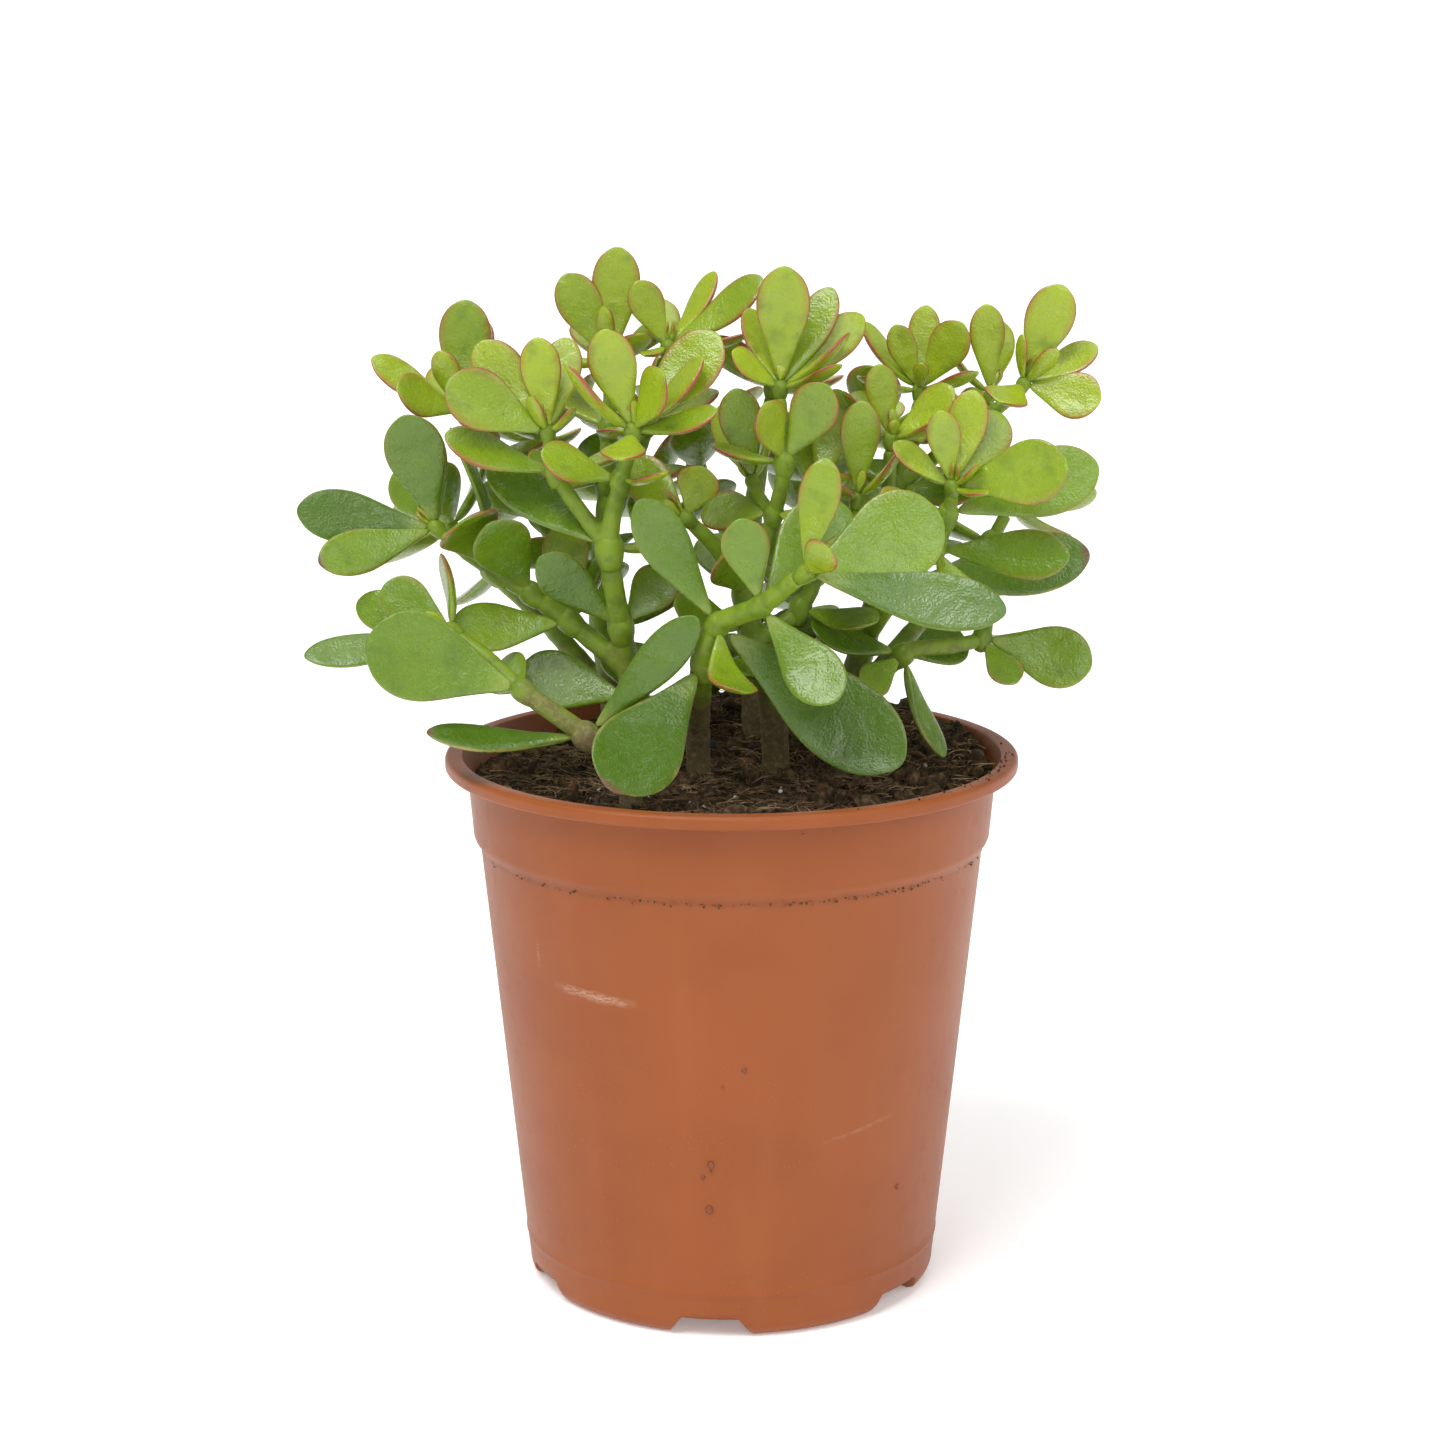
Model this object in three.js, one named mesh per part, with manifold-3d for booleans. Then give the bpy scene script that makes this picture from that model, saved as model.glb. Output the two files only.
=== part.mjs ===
// A jade plant (Crassula ovata) in a moulded plastic nursery pot.
//
// Millimetres, +Z up, the pot's foot on Z = 0, with the origin under the middle of the overall box.
// The pot is one thin moulded shell with a rolled rim, a stepped collar and a grooved, drained foot.
// The potting soil fills it. Seven rooted stems stand in the soil, and carry their leaves in opposite
// pairs and in rosettes at the shoot tips. Each group of leaves grows from one collar round its stem.

import * as THREE from "three";
import { mergeVertices } from "three/addons/utils/BufferGeometryUtils.js";
import Module from "manifold-3d";

const wasm = await Module();
wasm.setup();

// Driving dimensions.
const RIM_RADIUS = 85;
const RIM_THICKNESS = 4;
const RIM_WIDTH = 5.2;
const POT_HEIGHT = 161;
const COLLAR_DEPTH = 27;
const COLLAR_STEP = 2;
const COLLAR_TAPER = 1.6;
const FOOT_RADIUS = 61.6;
const FOOT_ROUNDING = 5;
const WALL = 1.3;
const BASE_RISE = 6;
const FOOT_BAND = 12;
const GROOVES = 6;
const GROOVE_WIDTH = 17;
const GROOVE_FLARE = 4;
const GROOVE_TURN = -5.8;
const DRAIN_RADIUS = 4;
const SOIL_DROP = 8;
const SOIL_BANK = 10;
const STEM_BURIED = 16;
const LEAF_THICKNESS = 3;
const CROWN_SCALE = 1;
const CROWN_DRAWN_FOR = 85;
const COLLAR_EXTRA = 1.2;

// Clearance between neighbouring pieces.
const GAP = 0.4;

// How finely round forms are divided.
const POT_SIDES = 48;
const SOIL_SIDES = 24;
const SOIL_RINGS = 4;
const STEM_SIDES = 6;
const LEAF_RINGS = 4;
const MERGE_BELOW = 0.12;
const CRUMB = 1;

const PLASTIC = new THREE.MeshStandardMaterial({ color: 0xa65a30, roughness: 0.45, metalness: 0 });
const SOIL = new THREE.MeshStandardMaterial({ color: 0x2b1c12, roughness: 1, metalness: 0 });
const BARK = new THREE.MeshStandardMaterial({ color: 0x6b7d35, roughness: 0.6, metalness: 0 });
const LEAF = new THREE.MeshStandardMaterial({ color: 0x6f9a2e, roughness: 0.4, metalness: 0 });

const UP = new THREE.Vector3(0, 0, 1);

// ---------------------------------------------------------------- solids

// A three.js geometry as a manifold-3d solid.
function solidOf(geometry) {
  const bare = geometry.index ? geometry.toNonIndexed() : geometry.clone();
  bare.deleteAttribute("normal");
  bare.deleteAttribute("uv");
  const merged = mergeVertices(bare, 1e-4);
  return new wasm.Manifold(
    new wasm.Mesh({
      numProp: 3,
      vertProperties: new Float32Array(merged.attributes.position.array),
      triVerts: new Uint32Array(merged.index.array),
    }),
  );
}

function meshOf(name, solid, material) {
  const { vertProperties, triVerts, numProp } = solid.getMesh();
  const positions = new Float32Array((vertProperties.length / numProp) * 3);
  for (let i = 0; i < positions.length / 3; i++) {
    positions.set(vertProperties.subarray(i * numProp, i * numProp + 3), i * 3);
  }
  const geometry = new THREE.BufferGeometry();
  geometry.setAttribute("position", new THREE.BufferAttribute(positions, 3));
  geometry.setIndex(new THREE.BufferAttribute(new Uint32Array(triVerts), 1));
  geometry.computeVertexNormals();
  const mesh = new THREE.Mesh(geometry, material);
  mesh.name = name;
  return mesh;
}

function joined(solids) {
  return solids.reduce((whole, next) => whole.add(next));
}

// The same solid without the slivers and crumbs that joining and cutting leave behind.
function cleaned(solid) {
  const bodies = solid.simplify(MERGE_BELOW).decompose();
  return joined(bodies.filter((body) => body.volume() > CRUMB));
}

// Turns [radius, height] pairs round the vertical axis into a solid.
function turned(profile, sides = POT_SIDES) {
  const points = profile.map(([r, z]) => new THREE.Vector2(r, z));
  return solidOf(new THREE.LatheGeometry(points, sides).rotateX(Math.PI / 2));
}

// Points of a quarter arc from angle `from` to angle `to`, in degrees.
function arc(centreR, centreZ, radius, from, to, steps = 3) {
  return Array.from({ length: steps + 1 }, (_, i) => {
    const angle = THREE.MathUtils.degToRad(from + ((to - from) * i) / steps);
    return [centreR + radius * Math.cos(angle), centreZ + radius * Math.sin(angle)];
  });
}

// ---------------------------------------------------------------- pot

const rimZ = POT_HEIGHT;
const stepZ = rimZ - COLLAR_DEPTH;
const collarTop = RIM_RADIUS - RIM_WIDTH - 1.4;
const collarBottom = collarTop - COLLAR_TAPER;
const wallTop = collarBottom - COLLAR_STEP;
const stepHeight = COLLAR_STEP * 1.5;

// The outside of the pot, from the foot up to the underside of the rim. `inset` moves it inwards.
function wallProfile(inset, floorZ) {
  const rounding = FOOT_ROUNDING - inset;
  return [
    ...arc(FOOT_RADIUS - FOOT_ROUNDING, floorZ + rounding, rounding, -90, 0),
    [wallTop - inset, stepZ],
    [collarBottom - inset, stepZ + stepHeight],
    [collarTop - inset, rimZ - RIM_THICKNESS - 1],
  ];
}

// One radial drainage groove across the foot, grown by `extra` on its sides and roof.
function groove(index, extra) {
  const half = GROOVE_WIDTH / 2 + extra;
  const top = BASE_RISE + extra;
  const section = new THREE.Shape([
    new THREE.Vector2(-half - GROOVE_FLARE, -1),
    new THREE.Vector2(half + GROOVE_FLARE, -1),
    new THREE.Vector2(half, top),
    new THREE.Vector2(-half, top),
  ]);
  const length = FOOT_RADIUS + 10;
  const geometry = new THREE.ExtrudeGeometry(section, { depth: length, bevelEnabled: false });
  const turn = GROOVE_TURN + (360 / GROOVES) * index;
  geometry.rotateX(Math.PI / 2).rotateZ(THREE.MathUtils.degToRad(turn));
  return solidOf(geometry);
}

// The raised middle of the base, with its grooves running out through the foot.
function footRecess(extra) {
  const radius = FOOT_RADIUS - FOOT_BAND - FOOT_ROUNDING / 2 + extra;
  const disc = turned([
    [0, -1],
    [radius, -1],
    [radius - 1, BASE_RISE + extra],
    [0, BASE_RISE + extra],
  ]);
  const grooves = Array.from({ length: GROOVES }, (_, i) => groove(i, extra));
  return joined([disc, ...grooves]);
}

function drainHoles() {
  const radius = FOOT_RADIUS - FOOT_BAND - FOOT_ROUNDING / 2;
  return Array.from({ length: GROOVES }, (_, i) => {
    const angle = THREE.MathUtils.degToRad(GROOVE_TURN - 90 + (360 / GROOVES) * i);
    const hole = new THREE.CylinderGeometry(DRAIN_RADIUS, DRAIN_RADIUS, 4 * BASE_RISE, 12);
    hole.rotateX(Math.PI / 2).translate(radius * Math.cos(angle), radius * Math.sin(angle), 0);
    return solidOf(hole);
  });
}

// Everything inside the pot's wall, up to the rim; `clearance` shrinks it off the plastic.
function potInside(clearance, sides = POT_SIDES) {
  const inset = WALL + clearance;
  const profile = [
    [0, inset],
    ...wallProfile(inset, inset),
    [collarTop - inset + 0.6, rimZ - RIM_THICKNESS + 1],
    [RIM_RADIUS - RIM_WIDTH - clearance, rimZ],
    [RIM_RADIUS - RIM_WIDTH - clearance, rimZ + 2],
    [0, rimZ + 2],
  ];
  return turned(profile, sides).subtract(footRecess(inset));
}

function potShell() {
  const outside = turned([
    [0, 0],
    ...wallProfile(0, 0),
    [RIM_RADIUS - 1, rimZ - RIM_THICKNESS],
    [RIM_RADIUS, rimZ - RIM_THICKNESS + 0.8],
    [RIM_RADIUS, rimZ - 1.2],
    [RIM_RADIUS - 1.2, rimZ],
    [0, rimZ],
  ]);
  const shell = outside.subtract(footRecess(0)).subtract(potInside(0));
  return cleaned(drainHoles().reduce((pot, hole) => pot.subtract(hole), shell));
}

// ---------------------------------------------------------------- soil

// Height of the soil over the rim plane: level in front, banked up towards the back right.
function soilHeight(x, y) {
  const bank = THREE.MathUtils.smoothstep((0.45 * x + 0.9 * y) / RIM_RADIUS, 0.1, 0.9);
  const ripple = 0.8 * Math.sin(x / 9 + 1) * Math.cos(y / 11);
  return -SOIL_DROP + SOIL_BANK * bank + ripple;
}

// The soil is the pot's inside cut off by a gently uneven top.
function soilBlock() {
  const radius = RIM_RADIUS + 10;
  const top = new THREE.SphereGeometry(1, SOIL_SIDES, 2 * SOIL_RINGS).rotateX(Math.PI / 2);
  const place = top.attributes.position;
  for (let i = 0; i < place.count; i++) {
    const polar = Math.acos(THREE.MathUtils.clamp(place.getZ(i), -1, 1));
    const share = Math.min(polar, Math.PI - polar) / (Math.PI / 2);
    const turn = Math.atan2(place.getY(i), place.getX(i));
    const x = radius * share * Math.cos(turn);
    const y = radius * share * Math.sin(turn);
    const above = polar < Math.PI / 2 + 0.01;
    place.setXYZ(i, x, y, above ? rimZ + soilHeight(x, y) : -5);
  }
  return potInside(GAP, SOIL_SIDES).intersect(solidOf(top));
}

// ---------------------------------------------------------------- stems

// The seven rooted stems. Every row is a run of [x, y, z, radius] measured from the middle of the
// rim's top; the first row of a stem starts in the soil and the others branch off an earlier one.
const STEMS = {
  stem_left: [
    [[-23, -12, -8, 4.2], [-25, -13, 4, 3.9], [-30, -15, 27, 3.7], [-32, -18, 40, 3.4],
      [-35, -25, 64, 3.1], [-32, -28, 82, 2.5], [-28, -30, 95, 2.1]],
    [[-35, -25, 64, 2.6], [-48, -25, 82, 2.3], [-51, -25, 89, 2.1], [-52, -25, 95, 1.9]],
    [[-30, -15, 27, 3.3], [-47, -14, 41, 3.1], [-58, -13, 49, 3], [-68, -12, 55, 2.7],
      [-84, -6, 65, 2.2]],
  ],
  stem_low_left: [
    [[-28, -42, -8, 3.6], [-30, -42, 2, 3.4], [-41, -42, 13, 3.2], [-59, -41, 26, 2.8],
      [-70, -32, 34, 2.4], [-78, -27, 39, 2.1]],
  ],
  stem_front: [
    [[-9, 2, -8, 3.9], [-10, -8, 8, 3.8], [-8, -37, 33, 3.5], [-4, -42, 45, 3.3],
      [8, -50, 52, 3], [18, -58, 61, 2.5]],
  ],
  stem_middle: [
    [[14, 12, -8, 4.6], [12, 5, 12, 4.2], [6, -12, 34, 3.6], [4, -10, 48, 3.2],
      [-4, -14, 62, 2.6], [-12, -18, 71, 2.2]],
    [[4, -10, 48, 2.6], [12, -16, 72, 2.4], [15, -20, 88, 2.2], [14, -10, 105, 2]],
    [[6, -12, 34, 3], [20, -9, 44, 2.6], [26, -8, 60, 2.4], [25, -6, 74, 2]],
    [[26, -8, 60, 2.2], [33, -12, 67, 2], [36, -15, 74, 1.9]],
    [[12, -16, 72, 2], [6, -9, 80, 1.8]],
  ],
  stem_right: [
    [[36, 8, -8, 4.8], [34, 6, 10, 4.4], [40, 2, 34, 3.8], [43, 2, 50, 3.2], [45, -2, 70, 2.6],
      [46, -5, 90, 2.1]],
    [[43, 2, 50, 2.8], [49, 14, 76, 2.5], [56, 24, 101, 2.1]],
    [[49, 14, 76, 2.4], [66, 16, 90, 2.2], [84, 15, 104, 2]],
    [[66, 16, 90, 2], [76, 22, 100, 1.8]],
    [[40, 2, 34, 3], [50, -12, 52, 2.8], [58, -24, 64, 2.6], [61, -32, 75, 2.3], [62, -35, 81, 2]],
    [[34, 6, 10, 3.4], [50, -8, 30, 2.8], [64, -4, 32, 2.5], [74, 0, 34, 2.2], [76, 2, 43, 1.8]],
    [[34, 6, 10, 3.4], [54, 26, 30, 2.9], [74, 38, 48, 2.5], [84, 43, 64, 2.1]],
  ],
  stem_back_left: [
    [[-34, 24, -8, 4.6], [-36, 25, 10, 4.3], [-40, 27, 38, 3.7], [-38, 29, 70, 3], [-37, 30, 92, 2.5],
      [-36, 30, 109, 2.1]],
    [[-40, 27, 38, 3], [-58, 25, 66, 2.6], [-72, 22, 84, 2.3], [-79, 20, 95, 2]],
    [[-39, 28, 58, 2.6], [-27, 24, 88, 2.3], [-20, 20, 114, 2]],
    [[-36, 25, 10, 3.5], [-58, 40, 32, 2.9], [-74, 44, 46, 2.5], [-84, 44, 58, 2.1]],
    [[-40, 27, 38, 2.8], [-52, 46, 62, 2.5], [-58, 54, 82, 2.1]],
  ],
  stem_back: [
    [[8, 42, -8, 4.8], [7, 44, 12, 4.4], [5, 46, 45, 3.6], [8, 46, 76, 2.9], [12, 44, 100, 2.2]],
    [[7, 44, 12, 3.6], [-14, 64, 34, 3], [-28, 76, 54, 2.4], [-32, 80, 62, 2.1]],
    [[5, 46, 45, 3], [-6, 62, 66, 2.6], [-16, 70, 84, 2.1]],
    [[5, 46, 45, 3], [28, 58, 62, 2.6], [44, 64, 84, 2.1]],
    [[7, 44, 12, 3.6], [22, 68, 32, 3], [34, 86, 50, 2.2]],
  ],
};

// ---------------------------------------------------------------- leaf groups

// The leaves that share one collar: [name, collar x, y, z, its radius, shoot direction, leaves].
// Every leaf is [tip dx, dy, dz from the collar, width, turn, bow]. A blade faces along its shoot at
// turn 0 and forwards at turn 1. Bow arches it away from that face, as a share of its length.
// A second collar lower on the same shoot follows as [x, y, z, radius, leaves].
const LEAVES = [
  ["tuft_far_left", -86, -5, 67, 3, [-7, 1, 7], [
    [-40, -4, 6, 16, 1], [-33, -13, -8, 14, 0.9], [-7, -5, 34, 18, 1], [3, 10, 30, 13, 0.5], [-14, 27, 14, 15]]],
  ["pair_far_left", -68, -12, 55, 4.4, [-7, 1, 6], [
    [-14, 9, 41, 15], [-8, -19, 18, 20, 1, -0.25]]],
  ["tuft_left_back", -80, 20, 98, 3, [-2, 0, 9], [
    [-27, 4, 16, 12, 0.4], [-18, -14, 9, 14, 0.7], [1, 5, 33, 16, 1], [-6, -7, 19, 9], [6, 14, 26, 12],
    [24, 10, 9, 15], [-8, 27, 12, 15]],
    [-72, 22, 84, 3.8, [[-8, -24, 4, 16], [12, 25, 4, 15]]]],
  ["pair_left_back", -58, 25, 66, 4.2, [-5, 0, 8], [[-8, 28, 14, 17], [-14, -24, 12, 17]],
    [-49, 26, 52, 4.4, [[-12, -26, 6, 17], [4, 28, 8, 16]]]],
  ["tuft_left", -52, -25, 97, 2.8, [-1, 0, 9], [
    [-28, -5, 15, 18, 0.9], [-20, 8, 25, 15, 1], [-3, 3, 27, 12, 1], [5, 13, 26, 12, 0.8],
    [-5, -4, 11, 6], [8, -4, 8, 6]],
    [-50, -25, 86, 3.8, [[-31, -3, 11, 14, 0.5], [23, 12, 7, 14]]]],
  ["tuft_centre_left", -28, -30, 98, 3.1, [0, -1, 9], [
    [-8, -2, 29, 14, 1], [-18, -9, 20, 11], [9, -10, 18, 15, 0.5], [20, 0, 21, 10, 0.25],
    [24, 8, 27, 18, 0.6], [24, -9, 7, 9, 0.5], [-3, -22, -5, 13]],
    [-31.5, -28.2, 84, 4, [[-22, -7, 9, 13, 0.6], [13, -14, 4, 10]]]],
  ["pair_left_upper", -35, -25, 64, 5.4, [-1, 0, 9], [[-35, 9, 24, 16, 0.5], [22, 16, 2, 15]]],
  ["pair_left_middle", -58, -13, 49, 4.5, [-8, 1, 6], [[-11, -15, 23, 18, 1], [9, 26, 9, 16]]],
  ["pair_left_lower", -47, -14, 41, 4.6, [-8, 1, 7], [
    [-33, -11, 0, 16, 0.7], [9, 24, 18, 15], [-2, 10, 27, 14, 1]]],
  ["pair_trunk_left", -32, -18, 40, 5, [-1, -1, 9], [
    [-23, -10, 22, 14, 1], [17, 22, 10, 15], [14, 6, 16, 15, 0.7]]],
  ["pair_trunk_low", -28, -15, 18, 5.4, [-1, 0, 9], [[-34, 5, 8, 18, 0.8], [-4, 26, 12, 17]]],
  ["tuft_top", -36, 30, 112, 3, [0, 0, 9], [
    [-14, 2, 26, 14, 1], [2, 4, 34, 15, 1], [-2, -5, 17, 6], [10, -18, 8, 12], [-9, 27, 10, 15],
    [17, 17, 15, 14], [-26, 8, 2, 14]]],
  ["pair_top", -37, 30, 92, 4.2, [0, 0, 9], [[-22, 22, 12, 17], [10, -23, 6, 15]],
    [-38, 29, 76, 4.4, [[-22, -18, 8, 17, 0.5], [22, 20, 6, 16]]]],
  ["tuft_top_centre", -19, 20, 117, 2.9, [1, 0, 9], [
    [-9, -2, 20, 11, 1], [28, -3, 21, 13, 0.5], [14, 9, 22, 10], [-8, -8, 3, 6], [24, -10, 5, 8],
    [-4, 26, 10, 14]],
    [-25, 23, 95, 3.9, [[20, 14, 8, 15], [-8, -24, 8, 14, 0.5]]]],
  ["tuft_centre", 14, -8, 108, 2.9, [0, 1, 9], [
    [1, 0, 35, 16, 1], [15, 12, 28, 12, 0.5], [20, 2, 16, 11], [24, 12, 20, 12, 1], [17, -11, 8, 9],
    [-14, -4, 11, 11, 0.5], [-9, 13, 22, 12]]],
  ["pair_centre", 15, -20, 88, 3.9, [0, 0, 9], [
    [-6, -8, 18, 14, 0.5], [12, -6, 23, 15, 0.8], [-20, 8, 4, 14]]],
  ["tuft_inner_centre", -13, -19, 72, 3.1, [-8, -4, 8], [
    [5, -8, 16, 13, 1], [-7, -3, 9, 5], [-17, 17, 14, 14]]],
  ["pair_inner_centre", 12, -16, 73, 3.8, [1, -1, 9], [[-22, 8, 2, 15, 0.6], [16, -16, 4, 14, 0.5]]],
  ["tuft_inner_dark", 6, -8, 81, 2.6, [-5, 5, 8], [
    [-5, 0, 27, 13, 1], [-10, 16, 20, 13], [8, 14, 18, 13]]],
  ["pair_inner_front", 4, -10, 48, 5.2, [-1, -1, 9], [[-5, -22, 17, 17, 0.8], [-10, 26, 14, 17]],
    [5.4, -11.4, 38, 4.9, [[-22, -12, 10, 15, 0.6], [22, 18, 0, 16, 0.4]]]],
  ["tuft_inner_right", 25, -6, 77, 2.7, [0, 1, 9], [
    [6, 4, 31, 13, 0.5], [8, -14, 9, 12], [-10, 12, 22, 12], [10, 20, 10, 13]]],
  ["pair_inner_right", 24, -8, 54, 4, [2, 0, 9], [
    [6, -24, 6, 15, 0.6], [4, 26, 10, 16], [-18, 6, 12, 14, 0.8]],
    [20, -9, 44, 4.4, [[22, -14, -4, 14, 0.4], [-6, 24, 8, 15]]]],
  ["tuft_inner_slim", 36, -15, 77, 2.6, [2, -2, 9], [
    [2, -5, 28, 12, 1], [13, -6, 16, 11], [-7, -12, 15, 9]]],
  ["tuft_right_middle", 46, -5, 93, 2.9, [0, 0, 9], [
    [-4, -2, 22, 10, 1], [18, -3, 15, 14, 0.5], [16, -13, 8, 8], [1, -3, 6, 4], [-8, 19, 14, 13],
    [-17, -2, 11, 12]]],
  ["pair_right_middle", 45, -2, 70, 4.1, [0, 0, 9], [[6, -24, 6, 14, 0.8], [-4, 26, 8, 16]],
    [43.8, 0.4, 58, 4.6, [[-22, -10, 8, 16, 0.6], [24, 14, 2, 15]]]],
  ["tuft_top_right", 56, 25, 104, 2.9, [1, 1, 9], [
    [-17, 5, 20, 11, 0.25], [-8, -5, 20, 9, 1], [1, 22, 14, 14], [2, 5, 25, 10, 1], [13, -6, 21, 13, 0.8],
    [16, -13, 7, 10], [0, -8, 9, 5], [-19, -8, 3, 13]],
    [53, 19.7, 90, 4, [[-18, 14, 6, 15], [14, -22, 0, 15, 0.6]]]],
  ["pair_top_right", 49, 14, 76, 4.3, [2, 3, 9], [[-18, 22, 6, 17], [22, -14, 6, 16, 0.6]]],
  ["tuft_right_small", 77, 23, 103, 2.5, [3, 2, 9], [
    [-2, -2, 27, 11, 1], [5, 14, 22, 12], [-14, 6, 13, 10]]],
  ["tuft_right_top", 86, 15, 107, 2.8, [4, 0, 9], [
    [11, 1, 29, 15, 0.8], [22, 5, 11, 13, 0.25], [9, -7, 11, 7], [22, -8, -4, 15, 0.9], [-9, -20, -3, 14],
    [-1, -4, 15, 6], [8, 24, 8, 14]]],
  ["pair_right_top", 67, 16, 90, 4, [7, 0, 7], [[2, -26, 2, 15], [8, 24, 8, 16]]],
  ["tuft_right", 62, -35, 83, 2.9, [1, -3, 9], [
    [31, -11, 8, 19, 1], [-4, -2, 22, 10, 1], [6, 5, 27, 12, 0.3], [14, 9, 20, 15, 0.9],
    [7, -6, 8, 7], [9, -11, 0, 6], [-16, 8, 12, 12]],
    [61, -32, 75, 3.9, [[43, 8, 13, 20, 1], [-20, -14, 6, 13, 0.5]]]],
  ["pair_right_long", 58, -24, 64, 4.3, [3, -6, 9], [[37, -14, 0, 15, 1], [9, -24, -13, 12, 0.5]]],
  ["pair_right_dark", 50, -12, 52, 4.6, [4, -6, 7], [[54, 4, 8, 19, 1], [8, -26, -8, 14, 0.5]]],
  ["tuft_low_right", 76, 2, 46, 2.4, [1, 1, 9], [[11, -5, 5, 8], [-6, 6, 12, 8], [10, 14, 8, 10]],
    [74, 0, 34, 3.7, [[32, -4, -8, 19, 1], [9, -11, -12, 11, 0.6], [4, 18, -4, 12]]]],
  ["pair_low_right_inner", 50, -8, 30, 4.4, [7, -5, 7], [
    [12, -8, -29, 10], [-12, -16, -7, 11], [20, 18, 2, 15], [-26, -6, 12, 14]]],
  ["pair_front_tip", 20, -60, 63, 3, [6, -5, 7], [
    [6, 4, 31, 12, 1], [38, 8, 14, 26, 0.8], [55, -5, -10, 17, 0.7], [12, 6, 8, 7], [6, -14, 9, 11]]],
  ["pair_front_bend", 8, -50, 52, 4.2, [6, -4, 4], [
    [-6, -4, 25, 14, 1], [21, -15, -24, 17, 1, -0.14], [24, 22, 22, 22, 1]]],
  ["pair_front_upper", -4, -42, 45, 4.6, [6, -4, 7], [
    [-22, -3, 36, 15, 0.9], [52, -8, -38, 26, 1, -0.12], [8, -22, -15, 14, 0.3, -0.24]]],
  ["pair_front_broad", -8, -37, 33, 4.9, [0, -3, 9], [[-26, -31, -30, 26, 1, -0.12], [24, 18, -4, 16]]],
  ["pair_low_left", -41, -42, 13, 5.2, [-7, 0, 6], [[-45, -4, 2, 12, 0.3], [31, -5, 35, 13, 1]]],
  ["pair_low_left_broad", -59, -41, 26, 4.2, [-7, 2, 6], [[-43, -8, 16, 26, 1], [-9, 26, 4, 15]]],
  ["pair_back_trunk", 6, 45, 31, 4.9, [0, 0, 9], [[-24, -16, 8, 17], [27, -4, 4, 17]],
    [6.4, 44.7, 23, 5.2, [[-22, 18, 4, 17], [24, 16, 2, 17]]]],
  ["tuft_low_left", -80, -27, 41, 2.8, [-9, 1, 5], [
    [-42, -4, -7, 12, 0.5], [-20, 4, 12, 14, 1], [-29, 15, 5, 13, 0.8], [-4, 12, 20, 11]]],
];

// The shoots at the back grow by rule: crossed pairs that shorten and close up towards the tip, and
// a wider pair on a lower collar. Each row is [name, tip x, y, z, direction, turn, lower x, y, z].
const BACK_SHOOTS = [
  ["tuft_back_left_low", -86, 44, 60, [-7, 2, 8], 20, -74, 44, 46],
  ["tuft_back_left", -59, 55, 85, [-3, 4, 9], 75, -55, 50, 72],
  ["tuft_back_low", -33, 81, 65, [-3, 6, 8], 75, -28, 76, 54],
  ["tuft_back_middle", -17, 72, 87, [-2, 4, 9], 10, -11, 66, 75],
  ["tuft_back_top", 12, 44, 103, [1, 3, 9], 50, 10, 45, 88],
  ["tuft_back_right", 46, 66, 87, [2, 5, 9], 80, 36, 61, 73],
  ["tuft_back_right_low", 36, 89, 53, [2, 7, 7], 30, 28, 77, 41],
  ["tuft_side_right", 86, 44, 67, [6, 4, 8], 60, 79, 40.5, 56],
];
const BACK_PAIRS = [
  { spread: 74, length: 31, width: 18 },
  { spread: 58, length: 27, width: 16 },
  { spread: 34, length: 19, width: 11 },
];
const LOWER_PAIR = { spread: 84, length: 33, width: 18 };
const CROSSED = 90;

// A vector square to `direction`, turned about it by `degrees`.
function across(direction, degrees) {
  const start = new THREE.Vector3(1, 0, 0);
  start.addScaledVector(direction, -start.dot(direction)).normalize();
  return start.applyAxisAngle(direction, THREE.MathUtils.degToRad(degrees));
}

function pairOfLeaves(direction, turn, { spread, length, width }) {
  const lean = THREE.MathUtils.degToRad(spread);
  return [0, 180].map((half) => {
    const out = across(direction, turn + half);
    const tip = out.multiplyScalar(Math.sin(lean)).addScaledVector(direction, Math.cos(lean));
    return [...tip.multiplyScalar(length).toArray(), width];
  });
}

function backShoot([name, x, y, z, heading, turn, lowX, lowY, lowZ]) {
  const direction = new THREE.Vector3(...heading).normalize();
  const leaves = BACK_PAIRS.flatMap((pair, i) => pairOfLeaves(direction, turn + CROSSED * i, pair));
  const lower = pairOfLeaves(direction, turn + CROSSED, LOWER_PAIR);
  return [name, x, y, z, 3, heading, leaves, [lowX, lowY, lowZ, 4.2, lower]];
}

// ---------------------------------------------------------------- leaf shape and place

const scale = (CROWN_SCALE * RIM_RADIUS) / CROWN_DRAWN_FOR;
const place = (x, y, z) => new THREE.Vector3(x, y, z).multiplyScalar(scale);

// Half the breadth of a blade at a share `u` of its length, as a share of half its full width.
function breadth(u) {
  return Math.sin(Math.PI * THREE.MathUtils.clamp(u, 0, 1) ** 1.6) ** 0.7;
}

function newLeaf(collar, radius, shoot, [dx, dy, dz, width, turn = 0, bow = -0.07], firm) {
  const reach = place(dx, dy, dz);
  const length = reach.length();
  const root = collar.clone().addScaledVector(reach, (0.45 * radius) / length);
  const thick = LEAF_THICKNESS * THREE.MathUtils.clamp(length / 30, 0.5, 1);
  const facing = shoot.clone().lerp(new THREE.Vector3(0, -1, 0.25).normalize(), turn).normalize();
  return { root, tip: collar.clone().add(reach), width: width * scale, thick, bow, facing, firm };
}

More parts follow.
